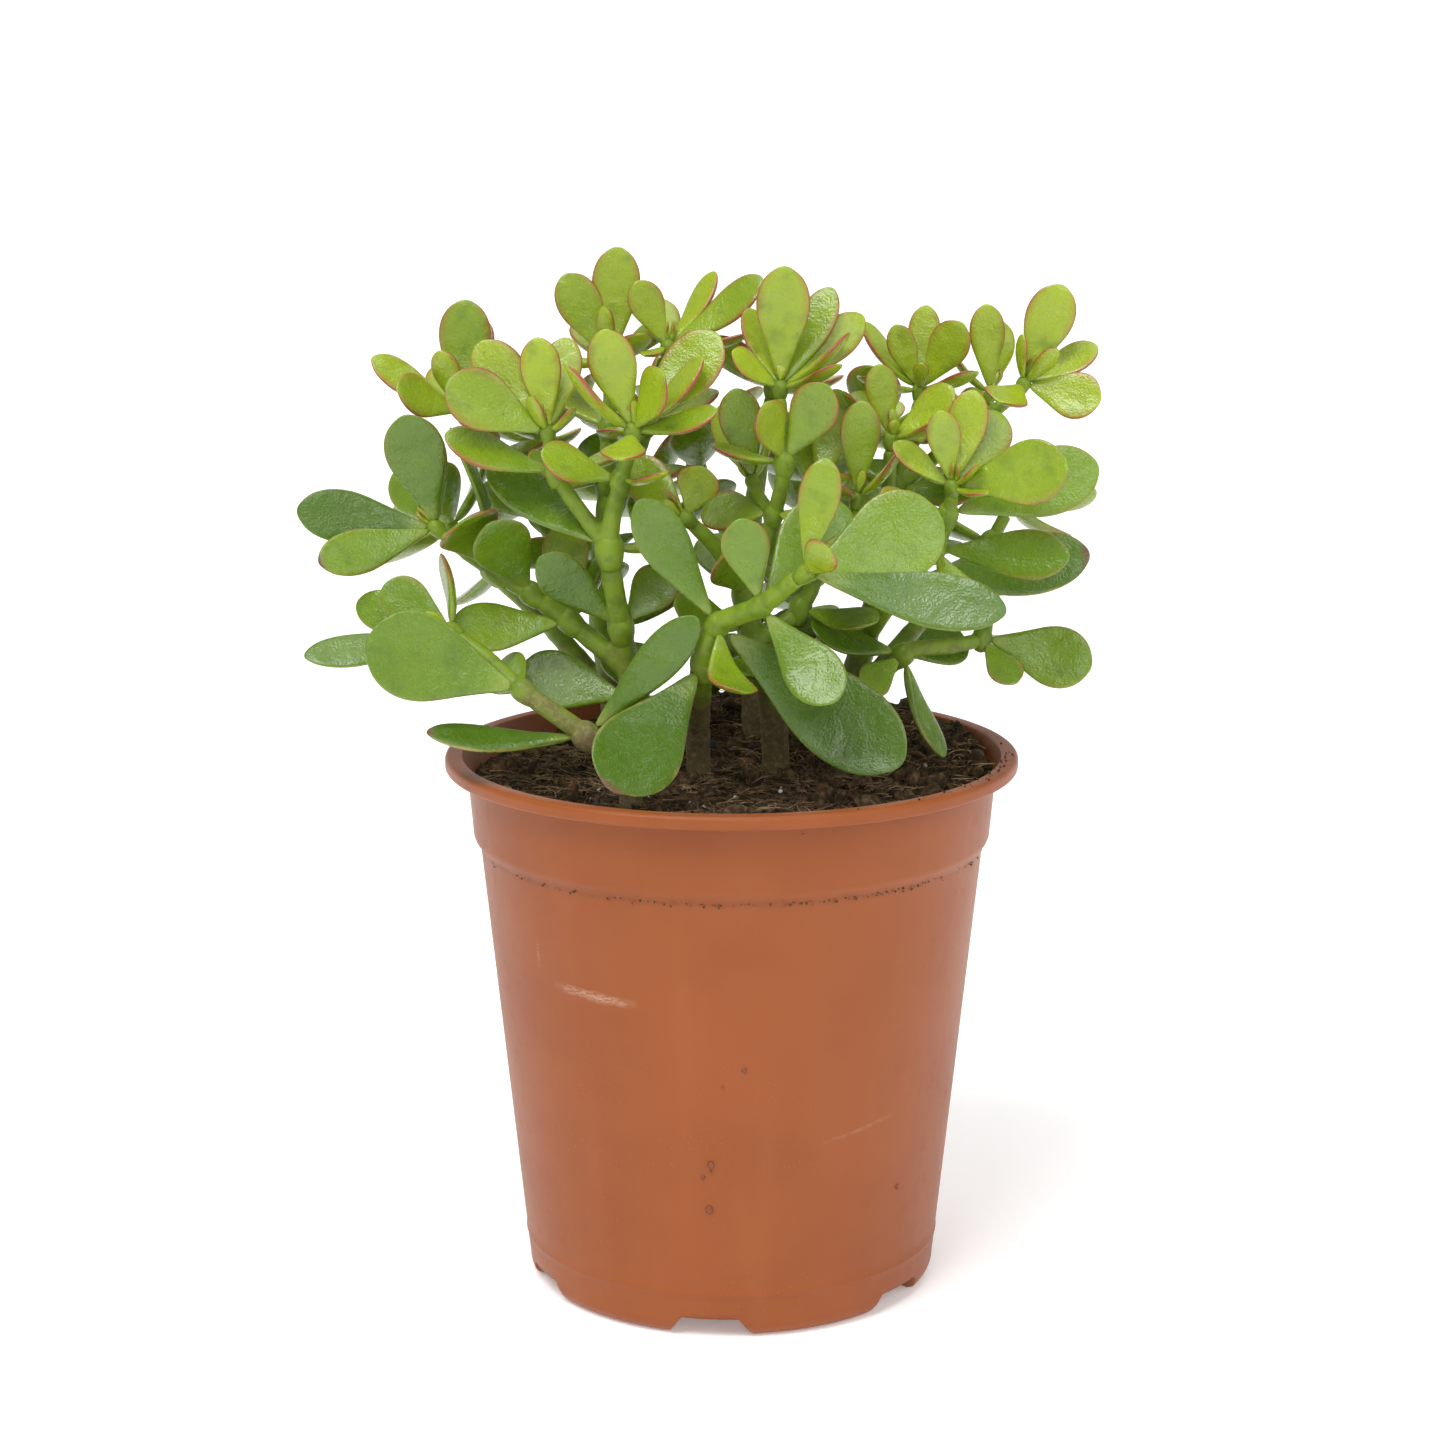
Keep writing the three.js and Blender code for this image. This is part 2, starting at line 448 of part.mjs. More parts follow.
// The leaf's own directions: along its length, across the blade and out of its upper face.
function axesOf(leaf) {
  const along = leaf.tip.clone().sub(leaf.root);
  const length = along.length();
  along.divideScalar(length);
  const out = leaf.facing.clone().addScaledVector(along, -leaf.facing.dot(along));
  if (out.length() < 0.05) out.copy(UP).addScaledVector(along, -along.z);
  out.normalize();
  return { length, along, out, side: along.clone().cross(out) };
}

// A point of the leaf's middle surface: `u` along it and `v` across it, from -1 to 1.
function pointOn(leaf, { length, along, out, side }, u, v) {
  const half = 0.5 * leaf.width * breadth(u);
  const lift = leaf.bow * length * Math.sin(Math.PI * u) + 0.16 * half * v * v;
  return leaf.root
    .clone()
    .addScaledVector(along, length * u)
    .addScaledVector(side, half * v)
    .addScaledVector(out, lift);
}

function groupOf([name, x, y, z, radius, heading, leaves, lower], firm) {
  const shoot = new THREE.Vector3(...heading).normalize();
  const collars = [{ at: place(x, y, z), radius: radius * scale, leaves }];
  if (lower) collars.push({ at: place(...lower.slice(0, 3)), radius: lower[3] * scale, leaves: lower[4] });
  const grown = collars.flatMap(({ at, radius: r, leaves: rows }) =>
    rows.map((row) => newLeaf(at, r, shoot, row, firm)),
  );
  return { name, collars, leaves: grown };
}

const groups = [
  ...LEAVES.map((row) => groupOf(row, true)),
  ...BACK_SHOOTS.map((row) => groupOf(backShoot(row), false)),
];

// ---------------------------------------------------------------- making room

// Crowded leaves bend apart: each pass turns the tips of leaves that touch a neighbour, a stem or
// the pot a little way out of its way. Leaves at the front give way least.
const PASSES = 30;
const FIRM = 0.3;
const CLEAR = 1.2 * scale;

const stemRuns = Object.values(STEMS).flat();
const segments = stemRuns.flatMap((run) =>
  run.slice(1).map((end, i) => ({
    from: place(...run[i].slice(0, 3)),
    to: place(...end.slice(0, 3)),
    radius: Math.max(run[i][3], end[3]) * scale,
  })),
);

function samplesOf(leaf, axes) {
  const samples = [];
  for (const u of [0.4, 0.55, 0.7, 0.85, 1]) {
    for (const v of u < 1 ? [-0.9, -0.45, 0, 0.45, 0.9] : [0]) {
      samples.push({ u, at: pointOn(leaf, axes, u, v) });
    }
  }
  return samples;
}

// How far, and which way along `b`'s face, leaf `a` has to move to come clear of it.
function pushFrom(b, a) {
  const need = (a.leaf.thick + b.leaf.thick) / 2 + CLEAR;
  let sum = 0;
  let deepest = 0;
  let reach = 0.7;
  for (const { u, at } of a.samples) {
    const from = at.clone().sub(b.leaf.root);
    const ub = from.dot(b.axes.along) / b.axes.length;
    if (ub < 0.12 || ub > 1.03) continue;
    const half = 0.5 * b.leaf.width * breadth(Math.min(ub, 0.93)) + 0.8 * scale;
    const across = from.dot(b.axes.side);
    if (Math.abs(across) > half) continue;
    const surface = pointOn(b.leaf, b.axes, ub, across / half);
    const height = at.clone().sub(surface).dot(b.axes.out);
    if (Math.abs(height) > need) continue;
    sum += height;
    if (need - Math.abs(height) > deepest) {
      deepest = need - Math.abs(height);
      reach = u;
    }
  }
  return { move: b.axes.out.clone().multiplyScalar(Math.sign(sum || 1) * deepest), deepest, reach };
}

function makeRoom() {
  const all = groups.flatMap((group, g) => group.leaves.map((leaf) => ({ leaf, g })));
  for (let pass = 0; pass < PASSES; pass++) {
    for (const item of all) {
      item.axes = axesOf(item.leaf);
      item.samples = samplesOf(item.leaf, item.axes);
      item.middle = pointOn(item.leaf, item.axes, 0.6, 0);
      item.move = new THREE.Vector3();
    }
    for (const a of all) {
      for (const b of all) {
        if (a === b || a.g === b.g) continue;
        if (a.middle.distanceTo(b.middle) > (a.axes.length + b.axes.length) / 2 + 4 * scale) continue;
        const { move, deepest, reach } = pushFrom(b, a);
        if (deepest === 0) continue;
        const give = a.leaf.firm === b.leaf.firm ? 0.5 : a.leaf.firm ? FIRM : 1 - FIRM;
        a.move.addScaledVector(move, (0.6 * give) / reach);
        b.move.addScaledVector(move, -0.6 * (1 - give));
      }
      for (const { from, to, radius } of segments) {
        const line = new THREE.Line3(from, to);
        for (const { u, at } of a.samples) {
          const near = line.closestPointToPoint(at, true, new THREE.Vector3());
          const away = at.clone().sub(near);
          const need = radius + a.leaf.thick / 2 + CLEAR;
          if (away.length() >= need) continue;
          const out = away.addScaledVector(a.axes.along, -away.dot(a.axes.along)).normalize();
          a.move.addScaledVector(out, (0.25 * (need - at.distanceTo(near))) / u);
        }
      }
      for (const { at } of a.samples) {
        const reach = Math.hypot(at.x, at.y) / RIM_RADIUS;
        const floor = (reach > 0.88 ? 0 : soilHeight(at.x, at.y)) + a.leaf.thick / 2 + CLEAR;
        if (reach < 1.04 && at.z < floor) a.move.z += 0.3 * (floor - at.z);
      }
    }
    for (const { leaf, axes, move } of all) {
      move.clampLength(0, 3 * scale);
      leaf.tip.add(move);
      leaf.tip.sub(leaf.root).setLength(axes.length).add(leaf.root);
    }
  }
}

makeRoom();

// ---------------------------------------------------------------- solids of the plant

// A leaf is a sphere drawn out to its outline: four points round, pointed edges, full middle.
function leafSolid(leaf) {
  const axes = axesOf(leaf);
  const geometry = new THREE.SphereGeometry(1, 4, LEAF_RINGS);
  const spot = geometry.attributes.position;
  for (let i = 0; i < spot.count; i++) {
    const polar = Math.acos(THREE.MathUtils.clamp(spot.getY(i), -1, 1));
    const ring = Math.sin(polar) || 1;
    const u = Math.sin((Math.PI - polar) / 2);
    const full = Math.sin(polar) > 1e-4 ? 0.5 * leaf.thick * Math.sqrt(1.05 - u ** 4) : 0;
    const at = pointOn(leaf, axes, u, full ? spot.getX(i) / ring : 0);
    at.addScaledVector(axes.out, (full * spot.getZ(i)) / ring);
    spot.setXYZ(i, at.x, at.y, at.z);
  }
  return solidOf(geometry);
}

// A round rod through a run of points, with its own radius at each; it is square to the run there.
function rod(points, radii) {
  const last = points.length - 1;
  const geometry = new THREE.CylinderGeometry(1, 1, last, STEM_SIDES, last);
  const spot = geometry.attributes.position;
  for (let i = 0; i < spot.count; i++) {
    const k = Math.round(spot.getY(i) + last / 2);
    const heading = points[Math.min(k + 1, last)].clone().sub(points[Math.max(k - 1, 0)]).normalize();
    const turn = new THREE.Quaternion().setFromUnitVectors(new THREE.Vector3(0, 1, 0), heading);
    const at = new THREE.Vector3(spot.getX(i), 0, spot.getZ(i)).multiplyScalar(radii[k]);
    at.applyQuaternion(turn).add(points[k]);
    spot.setXYZ(i, at.x, at.y, at.z);
  }
  return solidOf(geometry);
}

function ball(at, radius) {
  return solidOf(new THREE.IcosahedronGeometry(radius, 0).translate(at.x, at.y, at.z));
}

// One stem with its branches; `extra` grows it on every side and at its ends.
function stemSolid(runs, extra) {
  const rods = runs.map((run, branch) => {
    const points = run.map(([x, y, z]) => place(x, y, z));
    const radii = run.map((row) => row[3] * scale + extra);
    if (branch === 0) points[0].z = soilHeight(points[0].x, points[0].y) - STEM_BURIED - extra;
    const tip = points[points.length - 1];
    tip.addScaledVector(tip.clone().sub(points[points.length - 2]).normalize(), extra);
    return rod(points, radii);
  });
  return joined(rods);
}

const stems = Object.entries(STEMS).map(([name, runs]) => ({
  name,
  solid: stemSolid(runs, 0),
  room: stemSolid(runs, GAP),
}));

// The green collar that a group's leaves grow from; two collars on one shoot run into each other.
function collarSolid([top, low]) {
  const radius = top.radius + COLLAR_EXTRA;
  if (!low) return ball(top.at, radius);
  const wide = low.radius + COLLAR_EXTRA;
  const up = top.at.clone().sub(low.at).normalize();
  const start = low.at.clone().addScaledVector(up, -0.7 * wide);
  const end = top.at.clone().addScaledVector(up, 0.9 * radius);
  return rod([start, low.at, top.at, end], [0.7 * wide, wide, radius, 0.4 * radius]);
}

// Leaves of one group round their collars, cut clear of the stem that they sit on.
function groupSolid({ collars, leaves }) {
  const whole = joined([collarSolid(collars), ...leaves.map(leafSolid)]);
  return cleaned(stems.reduce((left, { room }) => left.subtract(room), whole));
}

const soil = cleaned(
  stems.reduce((left, { room }) => left.subtract(room.translate([0, 0, rimZ])), soilBlock()),
);

// ---------------------------------------------------------------- the whole object

const part = new THREE.Group();
part.add(meshOf("pot", potShell(), PLASTIC));
part.add(meshOf("soil", soil, SOIL));
for (const { name, solid } of stems) part.add(meshOf(name, solid.translate([0, 0, rimZ]), BARK));
for (const group of groups) {
  part.add(meshOf(group.name, groupSolid(group).translate([0, 0, rimZ]), LEAF));
}

// The frame's origin is under the middle of the overall box.
const box = new THREE.Box3().setFromObject(part);
const middle = box.getCenter(new THREE.Vector3());
part.position.set(-middle.x, -middle.y, -box.min.z);

export default part;
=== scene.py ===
# A jade plant in a moulded plastic nursery pot: pot, peat soil, forked stems, and the leaves, which
# grow from green collars in crossed pairs and in tufts at the shoot tips.

import math
import random

import bmesh
import bpy
import numpy as np
from mathutils import Euler, Matrix, Quaternion, Vector, noise


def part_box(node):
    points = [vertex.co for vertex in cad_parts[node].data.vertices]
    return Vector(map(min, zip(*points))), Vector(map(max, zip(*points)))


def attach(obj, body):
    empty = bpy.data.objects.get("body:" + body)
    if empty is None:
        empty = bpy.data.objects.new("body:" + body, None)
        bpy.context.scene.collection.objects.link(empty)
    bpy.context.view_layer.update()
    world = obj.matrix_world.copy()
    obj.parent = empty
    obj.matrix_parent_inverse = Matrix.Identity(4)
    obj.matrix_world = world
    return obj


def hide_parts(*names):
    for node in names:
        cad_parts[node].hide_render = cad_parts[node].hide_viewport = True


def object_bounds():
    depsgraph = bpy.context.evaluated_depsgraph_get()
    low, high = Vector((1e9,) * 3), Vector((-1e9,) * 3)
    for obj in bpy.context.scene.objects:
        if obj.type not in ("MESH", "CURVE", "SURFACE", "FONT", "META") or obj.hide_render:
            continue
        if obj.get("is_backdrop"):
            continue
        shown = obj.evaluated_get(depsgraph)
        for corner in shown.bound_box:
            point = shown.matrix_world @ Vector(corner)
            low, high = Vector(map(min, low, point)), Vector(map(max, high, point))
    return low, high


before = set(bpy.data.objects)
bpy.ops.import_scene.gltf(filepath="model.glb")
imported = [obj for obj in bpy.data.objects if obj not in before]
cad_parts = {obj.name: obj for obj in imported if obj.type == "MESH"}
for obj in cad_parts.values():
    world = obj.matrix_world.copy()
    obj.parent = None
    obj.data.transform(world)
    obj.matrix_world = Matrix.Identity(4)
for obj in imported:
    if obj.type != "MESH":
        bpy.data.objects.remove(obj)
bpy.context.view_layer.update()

# ------------------------------------------------------------------ the pot
# A thin injection-moulded shell of terracotta-coloured plastic. The rim is a flat rolled lip, the
# collar steps in to a tapered wall, and the rounded foot is cut by six radial drainage grooves.

mm = 0.001
pot_low, pot_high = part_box("pot")
axis = Vector(((pot_low.x + pot_high.x) / 2, (pot_low.y + pot_high.y) / 2, 0))
rim_z = pot_high.z
rim_radius = (pot_high.x - pot_low.x) / 2

lip_width = 5.2 * mm
lip_height = 4 * mm
lip_rounding = 0.9 * mm
rim_rounding = 1.4 * mm
inner_rounding = 0.8 * mm
collar_inset = 1.4 * mm
collar_radius = rim_radius - lip_width - collar_inset
collar_taper = 1.6 * mm
collar_step = 2 * mm
collar_depth = 27 * mm
step_z = rim_z - collar_depth
wall = 1.3 * mm
wall_top = collar_radius - collar_taper - collar_step
foot_radius = 61.6 * mm
foot_rounding = 5 * mm
foot_width = 12 * mm
drain_ring = foot_radius - foot_rounding / 2 - foot_width
wall_slope = (wall_top - foot_radius) / (step_z - foot_rounding)
seam_z = 13.4 * mm
base_rise = 6 * mm
floor_z = 7.5 * mm
floor_corner_z = 14 * mm
groove_count = 6
groove_width = 17 * mm
groove_flare = 4 * mm
groove_turn = math.radians(-95.8)
drain_radius = 4 * mm
pot_steps = 480
merge_gap = 0.01 * mm


def arc(centre_r, centre_z, radius, start, end, steps):
    """Points (r, z) of a round stretch of a profile, from one angle to another in degrees."""
    turns = [math.radians(start + (end - start) * i / steps) for i in range(steps + 1)]
    return [(centre_r + radius * math.cos(a), centre_z + radius * math.sin(a)) for a in turns]


def straight(start, end, steps):
    """Points (r, z) spaced evenly from start up to, but not onto, end."""
    return [
        (start[0] + (end[0] - start[0]) * i / steps, start[1] + (end[1] - start[1]) * i / steps)
        for i in range(steps)
    ]


def wall_radius(z):
    """The wall's outside radius at a height between the foot and the collar."""
    return foot_radius + wall_slope * (z - foot_rounding)


def pot_profile():
    """The wall's section: out under the foot, up the outside, over the rim and down the inside."""
    lip = rim_z - lip_height
    outside = [(0, base_rise), (0.6 * drain_ring, base_rise)]
    outside += arc(drain_ring - 1.2 * mm, base_rise - 1.2 * mm, 1.2 * mm, 90, 0, 4)
    outside += arc(drain_ring + 0.8 * mm, 0.8 * mm, 0.8 * mm, 180, 270, 4)
    outside += straight((drain_ring + 2 * mm, 0), (foot_radius - foot_rounding, 0), 3)
    outside += arc(foot_radius - foot_rounding, foot_rounding, foot_rounding, -90, 0, 12)
    at_seam = wall_radius(seam_z)
    low_start = (foot_radius + 0.05 * mm, foot_rounding + 1 * mm)
    outside += straight(low_start, (at_seam, seam_z - 0.6 * mm), 4)
    outside += [(at_seam - 0.1 * mm, seam_z - 0.5 * mm), (at_seam + 0.25 * mm, seam_z)]
    outside += [(at_seam + 0.25 * mm, seam_z + 0.5 * mm), (at_seam + 0.05 * mm, seam_z + 1 * mm)]
    high_start = (at_seam + 4 * wall_slope * mm, seam_z + 4 * mm)
    outside += straight(high_start, (wall_top, step_z - 0.6 * mm), 14)
    outside += [(wall_top, step_z - 0.6 * mm), (wall_top + 0.15 * mm, step_z)]
    outside += [(wall_top + collar_step - 0.3 * mm, step_z + 2.2 * mm)]
    outside += [(wall_top + collar_step, step_z + 3 * mm)]
    collar_start = (wall_top + collar_step + 0.1 * mm, step_z + 4 * mm)
    outside += straight(collar_start, (collar_radius, lip - 2 * mm), 4)
    outside += arc(collar_radius + 1 * mm, lip - 1 * mm, 1 * mm, 180, 90, 4)
    outside += arc(rim_radius - lip_rounding, lip + lip_rounding, lip_rounding, -90, 0, 5)
    outside += arc(rim_radius - rim_rounding, rim_z - rim_rounding, rim_rounding, 0, 90, 6)
    inner_lip = rim_radius - lip_width + inner_rounding
    inside = arc(inner_lip, rim_z - inner_rounding, inner_rounding, 90, 180, 4)
    inside += [(collar_radius - wall + 0.4 * mm, lip)]
    inside += [(collar_radius - collar_taper - wall, step_z + 3 * mm), (wall_top - wall, step_z)]
    inside += [(foot_radius - wall, floor_corner_z), (foot_radius - 3 * mm, floor_z)]
    return outside + inside + [(0.5 * foot_radius, floor_z), (0, floor_z)]


def groove_roof(x, y):
    """How high the underside is lifted at a spot under the foot by the nearest drainage groove."""
    turn = math.atan2(y, x) - groove_turn
    apart = math.tau / groove_count
    off = (turn + apart / 2) % apart - apart / 2
    aside = abs(math.hypot(x, y) * math.sin(off))
    return base_rise * min(max((groove_width / 2 + groove_flare - aside) / groove_flare, 0), 1)


def new_piece(name, bm, *materials):
    """A smooth-shaded mesh object from a bmesh, which it uses up."""
    mesh = bpy.data.meshes.new(name)
    bm.to_mesh(mesh)
    bm.free()
    for material in materials:
        mesh.materials.append(material)
    mesh.polygons.foreach_set("use_smooth", [True] * len(mesh.polygons))
    piece = bpy.data.objects.new(name, mesh)
    bpy.context.scene.collection.objects.link(piece)
    return piece


def applied(piece):
    """A piece's mesh with its modifiers worked out."""
    bpy.context.view_layer.update()
    return bpy.data.meshes.new_from_object(piece.evaluated_get(bpy.context.evaluated_depsgraph_get()))


def subdivided(piece, name, levels):
    """Rounds a piece with a Subdivision modifier."""
    rounding = piece.modifiers.new(name, "SUBSURF")
    rounding.levels = levels
    rounding.render_levels = levels


def spun(profile, steps):
    """A surface of revolution about the pot's axis, from a profile of points (r, z)."""
    bm = bmesh.new()
    verts = [bm.verts.new((axis.x + r, axis.y, z)) for r, z in profile]
    edges = [bm.edges.new(pair) for pair in zip(verts, verts[1:])]
    bmesh.ops.spin(
        bm, geom=verts + edges, cent=axis, axis=(0, 0, 1), angle=math.tau, steps=steps, use_merge=True
    )
    bmesh.ops.remove_doubles(bm, verts=bm.verts, dist=merge_gap)
    bmesh.ops.recalc_face_normals(bm, faces=bm.faces)
    return bm


class Paint:
    """One material while its nodes are made; each value of it is a socket that can be reckoned with."""

    def __init__(self, tree, socket=None):
        self.tree = tree
        self.socket = socket

    def node(self, kind, values=None, out=0, **settings):
        """Adds a node: its settings first, then the values or links of its sockets."""
        made = self.tree.nodes.new("ShaderNode" + kind)
        for key, value in settings.items():
            setattr(made, key, value)
        for key, value in (values or {}).items():
            self.feed(made.inputs[key], value)
        return Paint(self.tree, made.outputs[out]) if out is not None else None

    def feed(self, slot, value):
        if isinstance(value, Paint):
            self.tree.links.new(value.socket, slot)
        elif isinstance(value, tuple) and len(value) == 3 and slot.type == "RGBA":
            slot.default_value = (*value, 1)
        else:
            slot.default_value = value

    def math(self, operation, *others):
        values = dict(enumerate((self, *others)))
        return self.node("Math", values, operation=operation)

    def __add__(self, other):
        return self.math("ADD", other)

    __radd__ = __add__

    def __mul__(self, other):
        return self.math("MULTIPLY", other)

    __rmul__ = __mul__

    def __sub__(self, other):
        return self.math("SUBTRACT", other)

    def __rsub__(self, other):
        return self.math("MULTIPLY_ADD", -1.0, other)

    def within(self, low, high):
        """0 below low, 1 above high and a smooth rise between; turned round if high is the lower."""
        turned = low > high
        values = {0: self, 1: min(low, high), 2: max(low, high), 3: float(turned), 4: float(not turned)}
        return self.node("MapRange", values, interpolation_type="SMOOTHSTEP")

    def near(self, middle, far, close):
        """1 where this is less than close from middle, and 0 where it is more than far from it."""
        return (self - middle).math("ABSOLUTE").within(far, close)

    def blend(self, other, share):
        """This colour with share of another laid over it."""
        return self.node("Mix", {0: share, 6: self, 7: other}, out=2, data_type="RGBA")

    def colour(self, value):
        """A plain colour to blend others over."""
        return self.node("Mix", {0: 0.0, 6: value, 7: value}, out=2, data_type="RGBA")

    def spot(self, centre=(0, 0, 0)):
        """Position on the object, measured from centre."""
        place = self.node("TexCoord", out="Object")
        return self.node("VectorMath", {0: place, 1: centre}, operation="SUBTRACT")

    def along(self, place, letter):
        """One coordinate of a place."""
        return self.node("SeparateXYZ", {0: place}, out=letter)

    def noise(self, place, scale, detail=3.0, roughness=0.5, stretch=(1, 1, 1)):
        place = self.node("VectorMath", {0: place, 1: stretch}, operation="MULTIPLY")
        values = {"Vector": place, "Scale": scale, "Detail": detail, "Roughness": roughness}
        return self.node("TexNoise", values, out="Fac")

    def cells(self, place, scale):
        """Distance to the nearest of many scattered points, 0 at the points themselves."""
        return self.node("TexVoronoi", {"Vector": place, "Scale": scale}, out="Distance")

    def bump(self, height, distance, strength):
        values = {"Height": height, "Distance": distance, "Strength": strength}
        return self.node("Bump", values, out="Normal")


def new_paint(name):
    material = bpy.data.materials.new(name)
    material.use_nodes = True
    material.node_tree.nodes.clear()
    return material, Paint(material.node_tree)


def surface(paint, **values):
    """Ends a material in one Principled shader; an underscore in a name stands for a space."""
    values = {key.replace("_", " "): value for key, value in values.items()}
    shader = paint.node("BsdfPrincipled", values)
    paint.node("OutputMaterial", {"Surface": shader}, out=None)


pot_paint, p = new_paint("pot_plastic")
place = p.spot(axis)
sideways = p.along(place, "X")
height = p.along(place, "Z")
turn = sideways.math("ARCTAN2", p.along(place, "Y") * -1.0)
cloud = p.noise(place, 28, 4)
grain = p.noise(place, 900, 2)
streak = p.noise(place, 60, 3, stretch=(1, 1, 0.12))
tone = p.colour((0.300, 0.078, 0.017)).blend((0.262, 0.064, 0.013), cloud.within(0.35, 0.75) * 0.7)
tone = tone.blend((0.335, 0.100, 0.028), streak.within(0.5, 0.75) * 0.3)
speck = p.cells(place, 700).within(0.13, 0.05) * p.noise(place, 60, 2).within(0.46, 0.62)
speck = speck * height.within(105 * mm, 70 * mm)
tone = tone.blend((0.50, 0.26, 0.14), speck * 0.6)
dust = p.noise(place, 240, 4, 0.65).within(0.52, 0.7)
# A darker band round the step under the collar: painted shade in the corner there, flecked with dust.
step_shade_and_dust = height.near(step_z, 2.2 * mm, 0.2 * mm) * (0.2 + 0.35 * dust)
tone = tone.blend((0.14, 0.042, 0.014), step_shade_and_dust)

# The marks: a broad scuff at the left, a thin scratch beside it and a long faint one low at the
# right. Turns are measured from the front.
scuff_turn = math.radians(-33)
scuff_span = math.radians(13)
scuff_z = 102.8 * mm
scratch_turn = math.radians(-49.6)
scratch_z = 112 * mm
faint_turn = math.radians(33)
faint_z = 62 * mm
along_scuff = turn.near(scuff_turn, scuff_span, 0.3 * scuff_span)
wander = p.noise(place, 120, 2) * 2.4 * mm
across_scuff = (height - scuff_z + (turn - scuff_turn) * 3 * mm + wander - 1.2 * mm).math("ABSOLUTE")
fray = p.noise(place, 500, 4, 0.7, stretch=(1, 1, 4)).within(0.38, 0.6)
scuff = along_scuff * across_scuff.within(2.1 * mm, 0.2 * mm) * (fray * 0.8 + 0.1)
scratch = turn.near(scratch_turn, 0.012, 0.002) * height.near(scratch_z, 6 * mm, 2 * mm) * fray
faint_line = (height - faint_z - (turn - faint_turn) * 12 * mm).math("ABSOLUTE")
faint = turn.near(faint_turn, 0.22, 0.1) * faint_line.within(0.9 * mm, 0.2 * mm)
rub = scuff + scratch * 0.35 + faint * fray * 0.2
tone = tone.blend((0.56, 0.36, 0.25), rub * 0.75)
rough = 0.36 + cloud * 0.14 + dust * 0.06 + rub * 0.25
bumps = grain * 0.4 + p.noise(place, 170, 2) * 1.2 + streak * 0.5 + rub * 1.5
surface(
    p, Base_Color=tone, Roughness=rough, Normal=p.bump(bumps, 0.12 * mm, 0.35), Specular_IOR_Level=0.3,
)

bm = spun(pot_profile(), pot_steps)
for vert in bm.verts:
    if vert.co.z < base_rise and math.hypot(*(vert.co - axis).xy) > 20 * mm:
        vert.co.z = max(vert.co.z, groove_roof(*(vert.co - axis).xy))
pot = new_piece("nursery_pot", bm, pot_paint)

holes = bmesh.new()
for k in range(groove_count):
    turned = groove_turn + k * math.tau / groove_count
    made = bmesh.ops.create_cone(
        holes, cap_ends=True, segments=32, radius1=drain_radius, radius2=drain_radius, depth=8 * mm
    )
    spot = axis + Vector((drain_ring * math.cos(turned), drain_ring * math.sin(turned), 7 * mm))
    bmesh.ops.translate(holes, verts=made["verts"], vec=spot)
cutter = new_piece("drain_cutter", holes)
drain = pot.modifiers.new("drain_holes", "BOOLEAN")
drain.object = cutter
drain.solver = "EXACT"
drained = applied(pot)
pot.modifiers.clear()
pot.data = drained
bpy.data.objects.remove(cutter)
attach(pot, "root")
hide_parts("pot")

# ------------------------------------------------------------------ moulding nubs
# Small raised spots that the moulding left on the wall, a shade darker than the plastic round them.

nub_paint, p = new_paint("nub_plastic")
place = p.spot(axis)
tone = p.colour((0.24, 0.062, 0.017))
tone = tone.blend((0.16, 0.04, 0.014), p.noise(place, 700, 3).within(0.4, 0.65))
surface(p, Base_Color=tone, Roughness=0.4 + p.noise(place, 500, 2) * 0.2)

# Each nub: turn from the front in degrees, height and radius in millimetres.
nubs = [
    (3, 84, 0.8), (-2, 79, 0.5), (-5, 55, 1), (-7, 51, 0.7), (-5.5, 41, 1.1), (48, 40, 0.8),
    (-5, 53, 0.4),
]
bm = bmesh.new()
for degrees, high, size in nubs:
    turned = math.radians(degrees - 90)
    out = wall_radius(high * mm)
    made = bmesh.ops.create_icosphere(bm, subdivisions=2, radius=size * mm)
    bmesh.ops.scale(bm, vec=(1, 1, 1.25), verts=made["verts"])
    spot = axis + Vector((out * math.cos(turned), out * math.sin(turned), high * mm))
    bmesh.ops.translate(bm, verts=made["verts"], vec=spot)
nub = new_piece("pot_nubs", bm, nub_paint)
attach(nub, "root")

# ------------------------------------------------------------------ the soil
# Peat potting mix, filled by hand to just under the rim and banked up at the back right. Its top is
# loose and crumbly, and it is one block down to the pot's floor.

soil_radius = collar_radius - wall + 0.3 * mm
soil_drop = 8 * mm
soil_bank = 10 * mm
bank_from = 0.1
bank_width = 0.8
soil_gap = 0.3 * mm
soil_rings = 84
soil_steps = 280


def soil_height(x, y):
    """Height of the firmed soil over the rim's top, at a place measured from the pot's axis."""
    share = min(max(((0.45 * x + 0.9 * y) / rim_radius - bank_from) / bank_width, 0), 1)
    ripple = 0.8 * mm * math.sin(x / (9 * mm) + 1) * math.cos(y / (11 * mm))
    return -soil_drop + soil_bank * share * share * (3 - 2 * share) + ripple


def soil_top(x, y):
    """Height of the loose surface: clods, crumb and hollows on the firmed soil."""
    spot = Vector((x, y, 0)) / mm
    clods = noise.fractal(spot / 8, 1.0, 2.2, 4)
    crumb = noise.noise(spot / 1.7 + Vector((7, 3, 1)))
    lumps = max(0, 0.45 - noise.voronoi(spot / 6)[0][0])
    return rim_z + soil_height(x, y) + (1.9 * clods + 0.8 * crumb + 5 * lumps - 0.8) * mm


